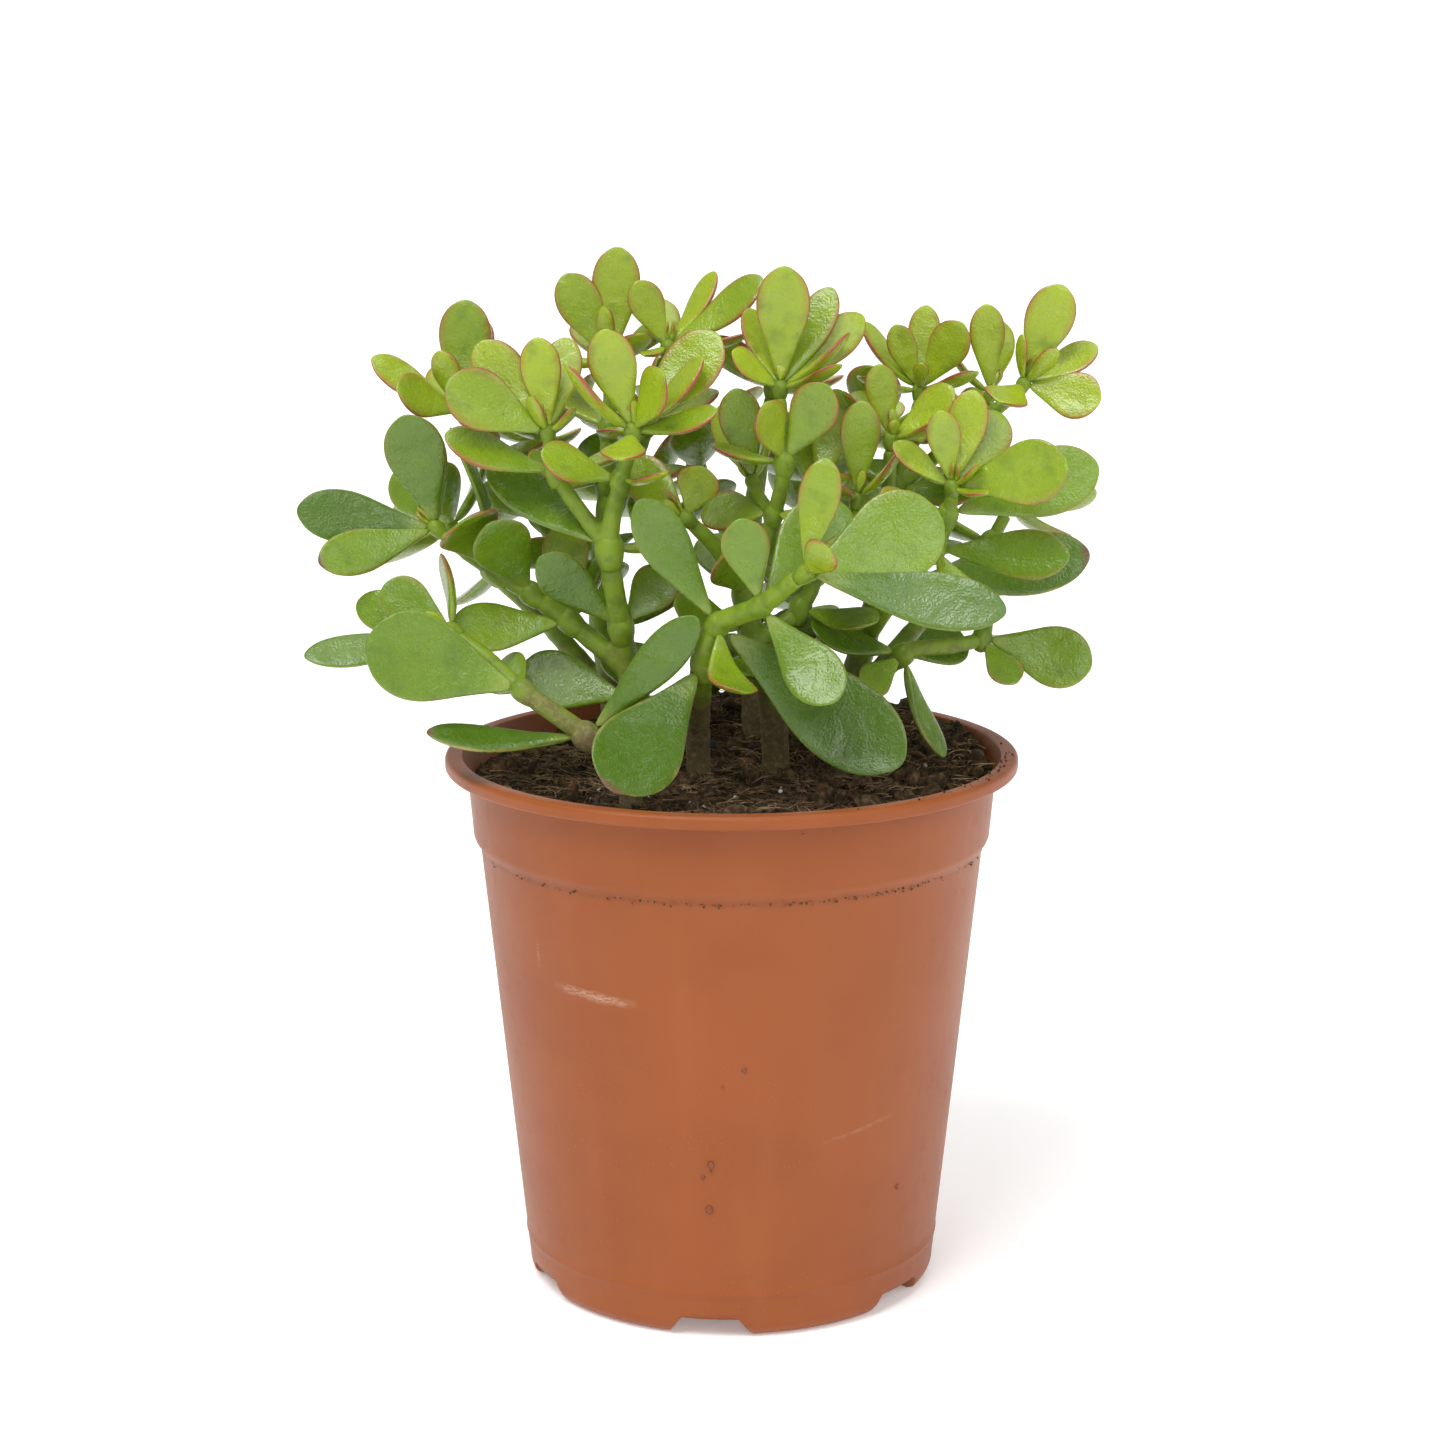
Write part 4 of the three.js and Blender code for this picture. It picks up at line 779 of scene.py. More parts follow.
# The leaves that share one collar: [name, collar x, y, z, its radius, shoot direction, leaves], in
# millimetres. Every leaf is [tip dx, dy, dz from the collar, width, turn, bow]. A blade faces along
# its shoot at turn 0 and forwards at turn 1. Bow arches it away from that face, as a share of its
# length. A second collar lower on the same shoot follows as [x, y, z, radius, leaves].
leaf_groups = [
  ["tuft_far_left", -86, -5, 67, 3, [-7, 1, 7], [
    [-40, -4, 6, 16, 1], [-33, -13, -8, 14, 0.9], [-7, -5, 34, 18, 1], [3, 10, 30, 13, 0.5],
    [-14, 27, 14, 15]]],
  ["pair_far_left", -68, -12, 55, 4.4, [-7, 1, 6], [
    [-14, 9, 41, 15], [-8, -19, 18, 20, 1, -0.25]]],
  ["tuft_left_back", -80, 20, 98, 3, [-2, 0, 9], [
    [-27, 4, 16, 12, 0.4], [-18, -14, 9, 14, 0.7], [1, 5, 33, 16, 1], [-6, -7, 19, 9], [6, 14, 26, 12],
    [24, 10, 9, 15], [-8, 27, 12, 15]],
    [-72, 22, 84, 3.8, [[-8, -24, 4, 16], [12, 25, 4, 15]]]],
  ["pair_left_back", -58, 25, 66, 4.2, [-5, 0, 8], [[-8, 28, 14, 17], [-14, -24, 12, 17]],
    [-49, 26, 52, 4.4, [[-12, -26, 6, 17], [4, 28, 8, 16]]]],
  ["tuft_left", -52, -25, 97, 2.8, [-1, 0, 9], [
    [-28, -5, 15, 18, 0.9], [-20, 8, 25, 15, 1], [-3, 3, 27, 12, 1], [5, 13, 26, 12, 0.8],
    [-5, -4, 11, 6], [8, -4, 8, 6]],
    [-50, -25, 86, 3.8, [[-31, -3, 11, 14, 0.5], [23, 12, 7, 14]]]],
  ["tuft_centre_left", -28, -30, 98, 3.1, [0, -1, 9], [
    [-8, -2, 29, 14, 1], [-18, -9, 20, 11], [9, -10, 18, 15, 0.5], [20, 0, 21, 10, 0.25],
    [24, 8, 27, 18, 0.6], [24, -9, 7, 9, 0.5], [-3, -22, -5, 13]],
    [-31.5, -28.2, 84, 4, [[-22, -7, 9, 13, 0.6], [13, -14, 4, 10]]]],
  ["pair_left_upper", -35, -25, 64, 5.4, [-1, 0, 9], [[-35, 9, 24, 16, 0.5], [22, 16, 2, 15]]],
  ["pair_left_middle", -58, -13, 49, 4.5, [-8, 1, 6], [[-11, -15, 23, 18, 1], [9, 26, 9, 16]]],
  ["pair_left_lower", -47, -14, 41, 4.6, [-8, 1, 7], [
    [-33, -11, 0, 16, 0.7], [9, 24, 18, 15], [-2, 10, 27, 14, 1]]],
  ["pair_trunk_left", -32, -18, 40, 5, [-1, -1, 9], [
    [-23, -10, 22, 14, 1], [17, 22, 10, 15], [14, 6, 16, 15, 0.7]]],
  ["pair_trunk_low", -28, -15, 18, 5.4, [-1, 0, 9], [[-34, 5, 8, 18, 0.8], [-4, 26, 12, 17]]],
  ["tuft_top", -36, 30, 112, 3, [0, 0, 9], [
    [-14, 2, 26, 14, 1], [2, 4, 34, 15, 1], [-2, -5, 17, 6], [10, -18, 8, 12], [-9, 27, 10, 15],
    [17, 17, 15, 14], [-26, 8, 2, 14]]],
  ["pair_top", -37, 30, 92, 4.2, [0, 0, 9], [[-22, 22, 12, 17], [10, -23, 6, 15]],
    [-38, 29, 76, 4.4, [[-22, -18, 8, 17, 0.5], [22, 20, 6, 16]]]],
  ["tuft_top_centre", -19, 20, 117, 2.9, [1, 0, 9], [
    [-9, -2, 20, 11, 1], [28, -3, 21, 13, 0.5], [14, 9, 22, 10], [-8, -8, 3, 6], [24, -10, 5, 8],
    [-4, 26, 10, 14]],
    [-25, 23, 95, 3.9, [[20, 14, 8, 15], [-8, -24, 8, 14, 0.5]]]],
  ["tuft_centre", 14, -8, 108, 2.9, [0, 1, 9], [
    [1, 0, 35, 16, 1], [15, 12, 28, 12, 0.5], [20, 2, 16, 11], [24, 12, 20, 12, 1], [17, -11, 8, 9],
    [-14, -4, 11, 11, 0.5], [-9, 13, 22, 12]]],
  ["pair_centre", 15, -20, 88, 3.9, [0, 0, 9], [
    [-6, -8, 18, 14, 0.5], [12, -6, 23, 15, 0.8], [-20, 8, 4, 14]]],
  ["tuft_inner_centre", -13, -19, 72, 3.1, [-8, -4, 8], [
    [5, -8, 16, 13, 1], [-7, -3, 9, 5], [-17, 17, 14, 14]]],
  ["pair_inner_centre", 12, -16, 73, 3.8, [1, -1, 9], [[-22, 8, 2, 15, 0.6], [16, -16, 4, 14, 0.5]]],
  ["tuft_inner_dark", 6, -8, 81, 2.6, [-5, 5, 8], [
    [-5, 0, 27, 13, 1], [-10, 16, 20, 13], [8, 14, 18, 13]]],
  ["pair_inner_front", 4, -10, 48, 5.2, [-1, -1, 9], [[-5, -22, 17, 17, 0.8], [-10, 26, 14, 17]],
    [5.4, -11.4, 38, 4.9, [[-22, -12, 10, 15, 0.6], [22, 18, 0, 16, 0.4]]]],
  ["tuft_inner_right", 25, -6, 77, 2.7, [0, 1, 9], [
    [6, 4, 31, 13, 0.5], [8, -14, 9, 12], [-10, 12, 22, 12], [10, 20, 10, 13]]],
  ["pair_inner_right", 24, -8, 54, 4, [2, 0, 9], [
    [6, -24, 6, 15, 0.6], [4, 26, 10, 16], [-18, 6, 12, 14, 0.8]],
    [20, -9, 44, 4.4, [[22, -14, -4, 14, 0.4], [-6, 24, 8, 15]]]],
  ["tuft_inner_slim", 36, -15, 77, 2.6, [2, -2, 9], [
    [2, -5, 28, 12, 1], [13, -6, 16, 11], [-7, -12, 15, 9]]],
  ["tuft_right_middle", 46, -5, 93, 2.9, [0, 0, 9], [
    [-4, -2, 22, 10, 1], [18, -3, 15, 14, 0.5], [16, -13, 8, 8], [1, -3, 6, 4], [-8, 19, 14, 13],
    [-17, -2, 11, 12]]],
  ["pair_right_middle", 45, -2, 70, 4.1, [0, 0, 9], [[6, -24, 6, 14, 0.8], [-4, 26, 8, 16]],
    [43.8, 0.4, 58, 4.6, [[-22, -10, 8, 16, 0.6], [24, 14, 2, 15]]]],
  ["tuft_top_right", 56, 25, 104, 2.9, [1, 1, 9], [
    [-17, 5, 20, 11, 0.25], [-8, -5, 20, 9, 1], [1, 22, 14, 14], [2, 5, 25, 10, 1], [13, -6, 21, 13, 0.8],
    [16, -13, 7, 10], [0, -8, 9, 5], [-19, -8, 3, 13]],
    [53, 19.7, 90, 4, [[-18, 14, 6, 15], [14, -22, 0, 15, 0.6]]]],
  ["pair_top_right", 49, 14, 76, 4.3, [2, 3, 9], [[-18, 22, 6, 17], [22, -14, 6, 16, 0.6]]],
  ["tuft_right_small", 77, 23, 103, 2.5, [3, 2, 9], [
    [-2, -2, 27, 11, 1], [5, 14, 22, 12], [-14, 6, 13, 10]]],
  ["tuft_right_top", 86, 15, 107, 2.8, [4, 0, 9], [
    [11, 1, 29, 15, 0.8], [22, 5, 11, 13, 0.25], [9, -7, 11, 7], [22, -8, -4, 15, 0.9], [-9, -20, -3, 14],
    [-1, -4, 15, 6], [8, 24, 8, 14]]],
  ["pair_right_top", 67, 16, 90, 4, [7, 0, 7], [[2, -26, 2, 15], [8, 24, 8, 16]]],
  ["tuft_right", 62, -35, 83, 2.9, [1, -3, 9], [
    [31, -11, 8, 19, 1], [-4, -2, 22, 10, 1], [6, 5, 27, 12, 0.3], [14, 9, 20, 15, 0.9],
    [7, -6, 8, 7], [9, -11, 0, 6], [-16, 8, 12, 12]],
    [61, -32, 75, 3.9, [[43, 8, 13, 20, 1], [-20, -14, 6, 13, 0.5]]]],
  ["pair_right_long", 58, -24, 64, 4.3, [3, -6, 9], [[37, -14, 0, 15, 1], [9, -24, -13, 12, 0.5]]],
  ["pair_right_dark", 50, -12, 52, 4.6, [4, -6, 7], [[54, 4, 8, 19, 1], [8, -26, -8, 14, 0.5]]],
  ["tuft_low_right", 76, 2, 46, 2.4, [1, 1, 9], [[11, -5, 5, 8], [-6, 6, 12, 8], [10, 14, 8, 10]],
    [74, 0, 34, 3.7, [[32, -4, -8, 19, 1], [9, -11, -12, 11, 0.6], [4, 18, -4, 12]]]],
  ["pair_low_right_inner", 50, -8, 30, 4.4, [7, -5, 7], [
    [12, -8, -29, 10], [-12, -16, -7, 11], [20, 18, 2, 15], [-26, -6, 12, 14]]],
  ["pair_front_tip", 20, -60, 63, 3, [6, -5, 7], [
    [6, 4, 31, 12, 1], [38, 8, 14, 26, 0.8], [55, -5, -10, 17, 0.7], [12, 6, 8, 7], [6, -14, 9, 11]]],
  ["pair_front_bend", 8, -50, 52, 4.2, [6, -4, 4], [
    [-6, -4, 25, 14, 1], [21, -15, -24, 17, 1, -0.14], [24, 22, 22, 22, 1]]],
  ["pair_front_upper", -4, -42, 45, 4.6, [6, -4, 7], [
    [-22, -3, 36, 15, 0.9], [52, -8, -38, 26, 1, -0.12], [8, -22, -15, 14, 0.3, -0.24]]],
  ["pair_front_broad", -8, -37, 33, 4.9, [0, -3, 9], [[-26, -31, -30, 26, 1, -0.12], [24, 18, -4, 16]]],
  ["pair_low_left", -41, -42, 13, 5.2, [-7, 0, 6], [[-45, -4, 2, 12, 0.3], [31, -5, 35, 13, 1]]],
  ["pair_low_left_broad", -59, -41, 26, 4.2, [-7, 2, 6], [[-43, -8, 16, 26, 1], [-9, 26, 4, 15]]],
  ["pair_back_trunk", 6, 45, 31, 4.9, [0, 0, 9], [[-24, -16, 8, 17], [27, -4, 4, 17]],
    [6.4, 44.7, 23, 5.2, [[-22, 18, 4, 17], [24, 16, 2, 17]]]],
  ["tuft_low_left", -80, -27, 41, 2.8, [-9, 1, 5], [
    [-42, -4, -7, 12, 0.5], [-20, 4, 12, 14, 1], [-29, 15, 5, 13, 0.8], [-4, 12, 20, 11]]],
]

# The shoots at the back grow by rule: crossed pairs that shorten and close up towards the tip, and
# a wider pair on a lower collar. Each row is [name, tip x, y, z, direction, turn, lower x, y, z].
back_shoots = [
  ["tuft_back_left_low", -86, 44, 60, [-7, 2, 8], 20, -74, 44, 46],
  ["tuft_back_left", -59, 55, 85, [-3, 4, 9], 75, -55, 50, 72],
  ["tuft_back_low", -33, 81, 65, [-3, 6, 8], 75, -28, 76, 54],
  ["tuft_back_middle", -17, 72, 87, [-2, 4, 9], 10, -11, 66, 75],
  ["tuft_back_top", 12, 44, 103, [1, 3, 9], 50, 10, 45, 88],
  ["tuft_back_right", 46, 66, 87, [2, 5, 9], 80, 36, 61, 73],
  ["tuft_back_right_low", 36, 89, 53, [2, 7, 7], 30, 28, 77, 41],
  ["tuft_side_right", 86, 44, 67, [6, 4, 8], 60, 79, 40.5, 56],
]
back_pairs = [(74, 31, 18), (58, 27, 16), (34, 19, 11)]
lower_pair = (84, 33, 18)
crossed = 90


def unit(rows):
    """The same directions with length 1."""
    return rows / np.linalg.norm(rows, axis=-1, keepdims=True)


def dot(a, b):
    return (a * b).sum(-1)


def pair_of_leaves(heading, turned, spread, length, width):
    """Two opposite leaves that lean out from a shoot by an angle of spread degrees."""
    ahead = Vector(heading).normalized()
    aside = Vector((1, 0, 0))
    aside = (aside - ahead * aside.dot(ahead)).normalized()
    rows = []
    for half in (0, 180):
        out = Quaternion(ahead, math.radians(turned + half)) @ aside
        tip = out * math.sin(math.radians(spread)) + ahead * math.cos(math.radians(spread))
        rows.append([*(tip * length), width])
    return rows


def back_group(name, x, y, z, heading, turned, low_x, low_y, low_z):
    """A back shoot written out as a row of the table above."""
    rows = []
    for k, pair in enumerate(back_pairs):
        rows += pair_of_leaves(heading, turned + crossed * k, *pair)
    lower = pair_of_leaves(heading, turned + crossed, *lower_pair)
    return [name, x, y, z, 3, heading, rows, [low_x, low_y, low_z, 4.2, lower]]


groups = leaf_groups + [back_group(*row) for row in back_shoots]
forwards = unit(np.array([0, -1, 0.25]))
collars = []
leaf_rows = []
for index, (name, x, y, z, radius, heading, rows, *more) in enumerate(groups):
    shoot = unit(np.array(heading, float))
    places = [(x, y, z, radius, rows)] + [tuple(row) for row in more]
    for x, y, z, radius, rows in places:
        collar = np.array([x, y, z], float)
        collars.append((index, collar, radius, shoot))
        for dx, dy, dz, width, *rest in rows:
            turned, bow = rest + plain_turn_and_bow[len(rest) :]
            reach = np.array([dx, dy, dz], float)
            long = np.linalg.norm(reach)
            root = collar + reach * root_share * radius / long
            thick = leaf_thickness * min(max(long / full_length, thinnest), 1)
            facing = unit(shoot * (1 - turned) + forwards * turned)
            at_front = index < len(leaf_groups)
            leaf_rows.append((index, root, collar + reach, width, thick, bow, facing, at_front))
group_of, root, tip, width, thick, bow, facing, firm = (np.array(column) for column in zip(*leaf_rows))


def leaf_axes(tip):
    """Every leaf's length, and its directions along the blade, out of its face and across it."""
    along = tip - root
    length = np.linalg.norm(along, axis=1)
    along = along / length[:, None]
    out = facing - along * dot(facing, along)[:, None]
    flat = np.linalg.norm(out, axis=1) < 0.05
    out[flat] = (np.array([0, 0, 1]) - along * along[:, 2:])[flat]
    out = unit(out)
    return length, along, out, np.cross(along, out)


def breadth(u):
    """Half the breadth of a blade at a share u of its length, as a share of half its width."""
    return np.sin(np.pi * np.clip(u, 0, 1) ** 1.6) ** 0.7


def blade(k, axes, u, v):
    """Points of the middle surface of leaves k: u runs along the blade and v across it, -1 to 1."""
    length, along, out, side = (values[k] for values in axes)
    half = 0.5 * width[k] * breadth(u)
    lift = bow[k] * length * np.sin(np.pi * u) + 0.16 * half * v * v
    return (
        root[k] + along * (length * u)[..., None] + side * (half * v)[..., None] + out * lift[..., None]
    )


# Crowded leaves bend apart: each pass turns the tips of leaves that touch a neighbour, a stem, the
# soil or the rim a little way out of its way. Leaves at the front give way least. In millimetres,
# clear is the gap they seek, margin widens a neighbour, nearby is how close two leaves have to be to
# be compared, and stride is the furthest that a tip moves in one pass.
passes = 30
front_give = 0.3
clear = 1.2
margin = 0.8
nearby = 4
stride = 3
leaf_push = 0.6
stem_push = 0.25
soil_push = 0.3
blade_from, blade_to, blade_blunt = 0.12, 1.03, 0.93
soil_edge, rim_edge = 0.88, 1.04
sample_u = np.array([0.4, 0.55, 0.7, 0.85]).repeat(5).tolist() + [1]
sample_v = [-0.9, -0.45, 0, 0.45, 0.9] * 4 + [0]
sample_u, sample_v = np.array(sample_u), np.array(sample_v)
every = np.arange(len(leaf_rows))
runs = [run for stem in stem_runs.values() for run in stem]
segments = [(a, b) for run in runs for a, b in zip(run, run[1:])]
seg_from = np.array([a[:3] for a, b in segments], float)
seg_run = np.array([b[:3] for a, b in segments], float) - seg_from
seg_radius = np.array([max(a[3], b[3]) for a, b in segments], float)
firmed = np.vectorize(lambda x, y: soil_height(x * mm, y * mm) / mm)
for _ in range(passes):
    axes = leaf_axes(tip)
    length, along, out, side = axes
    samples = blade(every[:, None], axes, sample_u[None, :], sample_v[None, :])
    middle = blade(every, axes, np.full(len(every), 0.6), np.zeros(len(every)))
    move = np.zeros_like(tip)

    apart = np.linalg.norm(middle[:, None] - middle[None], axis=2)
    far = apart > (length[:, None] + length[None]) / 2 + nearby
    a, b = np.nonzero(~far & (group_of[:, None] != group_of[None]))
    off = samples[a] - root[b][:, None]
    ub = dot(off, along[b][:, None]) / length[b][:, None]
    half = 0.5 * width[b][:, None] * breadth(np.minimum(ub, blade_blunt)) + margin
    aside = dot(off, side[b][:, None])
    need = (thick[a] + thick[b])[:, None] / 2 + clear
    facing_spots = blade(np.repeat(b[:, None], len(sample_u), 1), axes, ub, aside / half)
    height = dot(samples[a] - facing_spots, out[b][:, None])
    beside = (ub >= blade_from) & (ub <= blade_to) & (np.abs(aside) <= half)
    near = beside & (np.abs(height) <= need)
    depth = np.where(near, need - np.abs(height), 0)
    total = np.where(near, height, 0).sum(1)
    deepest = depth.max(1)
    reach = sample_u[depth.argmax(1)]
    push = out[b] * (np.where(total < 0, -1, 1) * deepest)[:, None]
    give = np.where(firm[a] == firm[b], 0.5, np.where(firm[a], front_give, 1 - front_give))
    np.add.at(move, a, push * (leaf_push * give / reach)[:, None])
    np.add.at(move, b, push * (-leaf_push * (1 - give))[:, None])

    for start, run, radius in zip(seg_from, seg_run, seg_radius):
        share = np.clip(((samples - start) @ run) / (run @ run), 0, 1)
        away = samples - start - share[..., None] * run
        gap = np.linalg.norm(away, axis=2)
        need = (radius + thick / 2 + clear)[:, None]
        push = unit(away - along[:, None] * dot(away, along[:, None])[..., None] + 1e-12)
        weight = np.where(gap < need, stem_push * (need - gap) / sample_u, 0)
        move += (push * weight[..., None]).sum(1)

    spread = np.hypot(samples[..., 0], samples[..., 1]) / (rim_radius / mm)
    ground = np.where(spread > soil_edge, 0, firmed(samples[..., 0], samples[..., 1]))
    ground = ground + thick[:, None] / 2 + clear
    sunk = (spread < rim_edge) & (samples[..., 2] < ground)
    lift = np.where(sunk, soil_push * (ground - samples[..., 2]), 0)
    move[:, 2] += lift.sum(1)

    size = np.linalg.norm(move, axis=1, keepdims=True)
    tip = tip + move * np.minimum(1, stride / np.maximum(size, 1e-9))
    tip = root + unit(tip - root) * length[:, None]

# Each point of a leaf holds its place along the blade, its nearness to the margin, how young and how
# yellow the leaf is, and whether it has dried at the edge.
leaf_keys = ("along", "edge", "young", "tint", "dry")
leaf_paint, p = new_paint("jade_leaf")
place = p.spot(axis)
along_leaf, edge, young, tint, dry = (
    p.node("Attribute", out="Fac", attribute_name=key) for key in leaf_keys
)
cloud = p.noise(place, 55, 3)
blotch = p.noise(place, 170, 4, 0.6)
ripe = young + (cloud - 0.5) * 0.35 + tint * 0.17
tone = p.colour((0.068, 0.145, 0.004)).blend((0.150, 0.260, 0.005), ripe.within(0.0, 0.45))
tone = tone.blend((0.320, 0.420, 0.014), ripe.within(0.4, 0.95))
tone = tone.blend((0.055, 0.115, 0.006), blotch.within(0.52, 0.72) * 0.35)
tone = tone.blend((0.290, 0.370, 0.060), along_leaf.within(0.3, 0.05) * 0.75)
rim = edge.within(0.88, 0.99)
tone = tone.blend((0.330, 0.400, 0.060), rim * 0.5)
flush = (p.noise(place, 45, 2) + young * 0.3).within(0.42, 0.62) * along_leaf.within(0.3, 0.75)
flush = flush * (young.within(0.25, 0.7) * 0.9 + 0.06)
tone = tone.blend((0.340, 0.120, 0.020), edge.within(0.55, 0.95) * flush * 0.5)
tone = tone.blend((0.330, 0.040, 0.030), edge.within(0.8, 0.95) * flush * 0.95)
bloom = p.noise(place, 900, 3, 0.6).within(0.5, 0.75)
tone = tone.blend((0.330, 0.420, 0.150), bloom * 0.1)
specks = p.cells(place, 620).within(0.11, 0.04) * p.noise(place, 140, 2).within(0.52, 0.62)
tone = tone.blend((0.500, 0.540, 0.330), specks * 0.45)
spots = p.cells(place, 230).within(0.1, 0.05) * p.noise(place, 60, 2).within(0.55, 0.62)
tone = tone.blend((0.100, 0.060, 0.025), spots * 0.6)
worn = dry * (edge + (blotch - 0.5) * 0.5).within(0.84, 1.0)
tone = tone.blend((0.360, 0.300, 0.060), worn * 0.7)
tone = tone.blend((0.150, 0.075, 0.030), dry * along_leaf.within(0.93, 0.99))
grain = p.noise(place, 1500, 2) * 0.5 + p.cells(place, 1300) * 0.35
bumps = grain + p.noise(place, 330, 3) * 1.4 + p.noise(place, 90, 2) * 5 + specks * 0.8 - worn * 0.8
surface(
    p, Base_Color=tone, Roughness=0.22 + blotch * 0.12 + bloom * 0.08 + worn * 0.2,
    Normal=p.bump(bumps, 0.22 * mm, 0.9), Specular_IOR_Level=0.65, Subsurface_Weight=0.12,
    Subsurface_Radius=(0.5, 1.0, 0.15), Subsurface_Scale=0.0016,
)


def outline(u):
    """The blade's half breadth as a share of its full half: a long taper up to a round end."""
    widest = 0.66
    taper = 0.5 - 0.5 * np.cos(np.pi * (np.clip(u, 0, widest) / widest) ** 1.15)
    round_end = np.sqrt(np.clip(1 - (np.maximum(u - widest, 0) / (1 - widest)) ** 2, 0, 1))
    return np.where(u < widest, taper, round_end)


def youth(k, axes):
    """How young a leaf is, from its length and how high it sits: 0 for old, 1 for just unfolded."""
    grown_length = 44
    crown_height = 110
    short = 1 - min(axes[0][k] / grown_length, 1)
    high = min(max((root[k][2] + 4) / crown_height, 0), 1)
    return min(0.85 * short + 0.55 * high * high, 1)


def add_leaf(bm, layers, at, values):
    """One leaf: a ball drawn out to the blade's outline, with its colour values at every point."""
    made = bmesh.ops.create_uvsphere(bm, u_segments=leaf_sides, v_segments=leaf_rings, radius=1)
    made = made["verts"]
    cage = np.array([vert.co[:] for vert in made])
    u = np.sin((np.pi - np.arccos(np.clip(cage[:, 2], -1, 1))) / 2)
    round_by = np.maximum(np.hypot(cage[:, 0], cage[:, 1]), 1e-6)
    v, up = cage[:, 0] / round_by, cage[:, 1] / round_by
    pole = np.hypot(cage[:, 0], cage[:, 1]) < 1e-4
    v[pole], up[pole] = 0, 0
    for vert, spot, *numbers in zip(made, at(u, v, up), u, abs(v)):
        vert.co = from_rim(*spot)
        vert[layers["along"]], vert[layers["edge"]] = numbers
        for name, value in values.items():
            vert[layers[name]] = value


def blade_at(k, axes):
    """The outside of leaf k as a function of u, v and up, the share of its thickness."""
    length, along, out, side = (values[k] for values in axes)

    def at(u, v, up):
        u = u * 1.06 - 0.05
        stalk = stalk_share * width[k] + stalk_least
        stalk = stalk * (1 - np.clip(u, 0, 1) ** 3)
        half = 1.1 * (stalk + (0.5 * width[k] - stalk) * outline(u))
        full = 0.5 * leaf_plump * thick[k] * np.sqrt(np.clip(1.06 - u**5, 0.05, 1))
        lift = bow[k] * length * np.sin(np.pi * u) + 0.21 * half * v * v
        rise = lift + full * np.sign(up) * np.abs(up) ** 0.8
        middle = root[k] + along * (length * u)[:, None]
        return middle + side * (half * np.sign(v) * np.abs(v) ** 0.85)[:, None] + out * rise[:, None]

    return at


def bud_at(collar, radius, shoot, turned, long, wide):
    """The outside of a tiny unopened leaf at a shoot's tip."""
    ahead = Vector(shoot)
    aside = Quaternion(ahead, turned) @ ahead.orthogonal().normalized()
    lean = (ahead + 0.3 * aside).normalized()
    out = np.array(ahead.cross(aside))
    face = np.array((ahead * 0.3 - aside).normalized())
    start = collar + shoot * radius * 0.7 + np.array(aside) * 0.5

    def at(u, v, up):
        half = 0.5 * wide * np.maximum(outline(u), 0.4) * (u > 0) * (u < 1)
        curl = 0.25 * long * u * u
        spot = start + np.array(lean) * (long * u)[:, None] + out * (half * v)[:, None]
        return spot + face * (curl + up * 0.9 * np.sqrt(1.02 - u**4))[:, None]

    return at


# A joint's rows are heights and radii as shares of its collar's radius. A collar no thicker than
# tip_radius, in millimetres, is a shoot's tip and carries two unopened leaves.
joint_section = [(-1.3, 0.5), (-0.7, 0.7), (-0.2, 0.84), (0.35, 0.84), (0.75, 0.62), (1.0, 0.3)]
tip_radius = 3.2
bud_width = 3.4
dry_leaves = {
    ("pair_front_broad", 0), ("pair_low_left", 0), ("tuft_far_left", 1), ("pair_right_dark", 0)
}
random.seed(31)
axes = leaf_axes(tip)
for index, (name, *_) in enumerate(groups):
    bm = bmesh.new()
    layers = {key: bm.verts.layers.float.new(key) for key in leaf_keys}
    for order, k in enumerate(np.nonzero(group_of == index)[0]):
        age = youth(k, axes) + random.uniform(-0.1, 0.1)
        values = {"young": age, "tint": random.uniform(-1, 1)}
        values["dry"] = float((name, order) in dry_leaves)
        add_leaf(bm, layers, blade_at(k, axes), values)
    own_collars = [row[1:] for row in collars if row[0] == index]
    for collar, radius, shoot in own_collars:
        if radius <= tip_radius:
            turned = random.uniform(0, math.pi)
            for half in (0, math.pi):
                long = random.uniform(5, 7.5)
                bud = bud_at(collar, radius, shoot, turned + half, long, bud_width)
                add_leaf(bm, layers, bud, {"young": 1.0, "tint": 0.5, "dry": 0.0})
    bmesh.ops.recalc_face_normals(bm, faces=bm.faces)
    leaves = new_piece(name + "_leaves", bm, leaf_paint)
    subdivided(leaves, "plump", 2)
    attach(leaves, "root")
    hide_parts(name)

    joints = bmesh.new()
    for collar, radius, shoot in own_collars:
        rows = [
            (from_rim(*(collar + shoot * radius * up)), radius * share * mm)
            for up, share in joint_section
        ]
        rod(joints, rows, stem_sides)
    bmesh.ops.recalc_face_normals(joints, faces=joints.faces)
    joint = new_piece(name + "_joints", joints, stem_paint)
    subdivided(joint, "rounded", 1)
    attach(joint, "root")

# ------------------------------------------------------------------ the floor, light and camera
# A plain pale floor under plain soft light from the front left and above, as in a white studio.

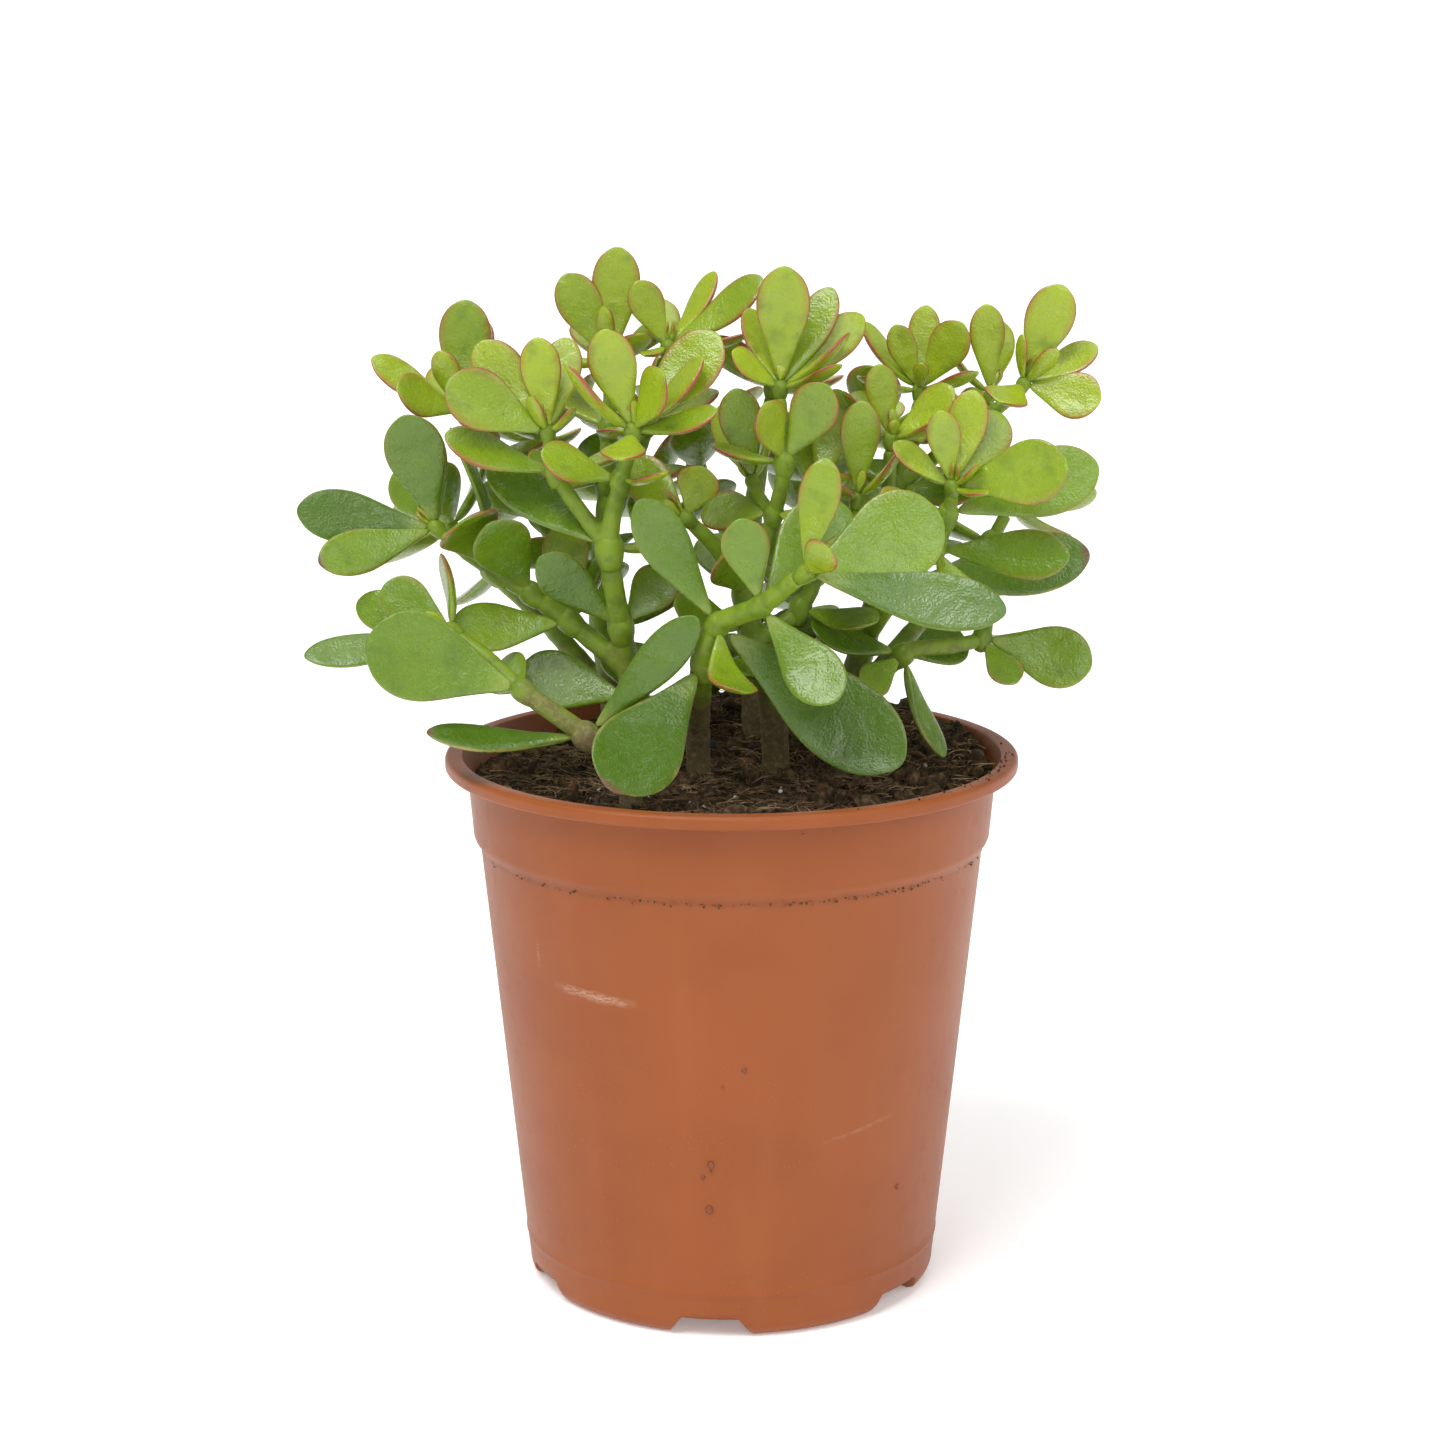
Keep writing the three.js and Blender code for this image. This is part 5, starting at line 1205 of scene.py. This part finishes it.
floor_paint, p = new_paint("pale_floor")
surface(
    p, Base_Color=(0.97, 0.97, 0.97), Roughness=1.0, Specular_IOR_Level=0.0,
    Emission_Color=(1, 1, 1), Emission_Strength=0.22,
)
bm = bmesh.new()
bmesh.ops.create_grid(bm, x_segments=8, y_segments=8, size=60)
floor = new_piece("studio_floor", bm, floor_paint)
floor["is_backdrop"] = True

world = bpy.data.worlds.new("studio")
world.use_nodes = True
world.node_tree.nodes.clear()
p = Paint(world.node_tree)
toward = p.node("TexCoord", out="Generated")
height = p.along(toward, "Z")
behind = p.along(toward, "Y").within(-0.2, 0.4)
band = height.within(0.5, 0.12) * (0.3 + 0.7 * behind)
glow = p.node("Background", {"Color": (1, 1, 1), "Strength": 0.24 + 0.8 * band}, out="Background")
p.node("OutputWorld", {"Surface": glow}, out=None)
bpy.context.scene.world = world
bpy.context.scene.view_settings.view_transform = "Standard"


def area_light(name, spot, target, size, watts):
    light = bpy.data.lights.new(name, "AREA")
    light.size = size
    light.energy = watts
    lamp = bpy.data.objects.new(name, light)
    lamp.location = spot
    lamp.rotation_euler = (Vector(target) - Vector(spot)).to_track_quat("-Z", "Y").to_euler()
    bpy.context.scene.collection.objects.link(lamp)


def softbox(name, toward, degrees, strength):
    """A far, broad lamp: a soft round patch of light in one direction, as wide as an angle."""
    sun = bpy.data.lights.new(name, "SUN")
    sun.energy = strength
    sun.angle = math.radians(degrees)
    lamp = bpy.data.objects.new(name, sun)
    lamp.rotation_euler = (-Vector(toward)).to_track_quat("-Z", "Y").to_euler()
    bpy.context.scene.collection.objects.link(lamp)


softbox("big_softbox", (-0.35, -0.5, 1.0), 34, 2.15)
softbox("front_softbox", (0.15, -1.0, 0.62), 24, 0.55)
softbox("top_softbox", (0.1, 0.3, 1.0), 40, 0.8)
area_light("strip_light", (0.9, -0.7, 0.9), (0, 0, 0.15), 0.5, 3)

camera = bpy.data.cameras.new("camera")
camera.lens = 77.2
camera.sensor_width = 36
view = bpy.data.objects.new("camera", camera)
view.location = axis + Vector((0, -0.9, 0.3619))
view.rotation_euler = (math.radians(77.91), 0, 0.003)
bpy.context.scene.collection.objects.link(view)
bpy.context.scene.camera = view

low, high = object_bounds()
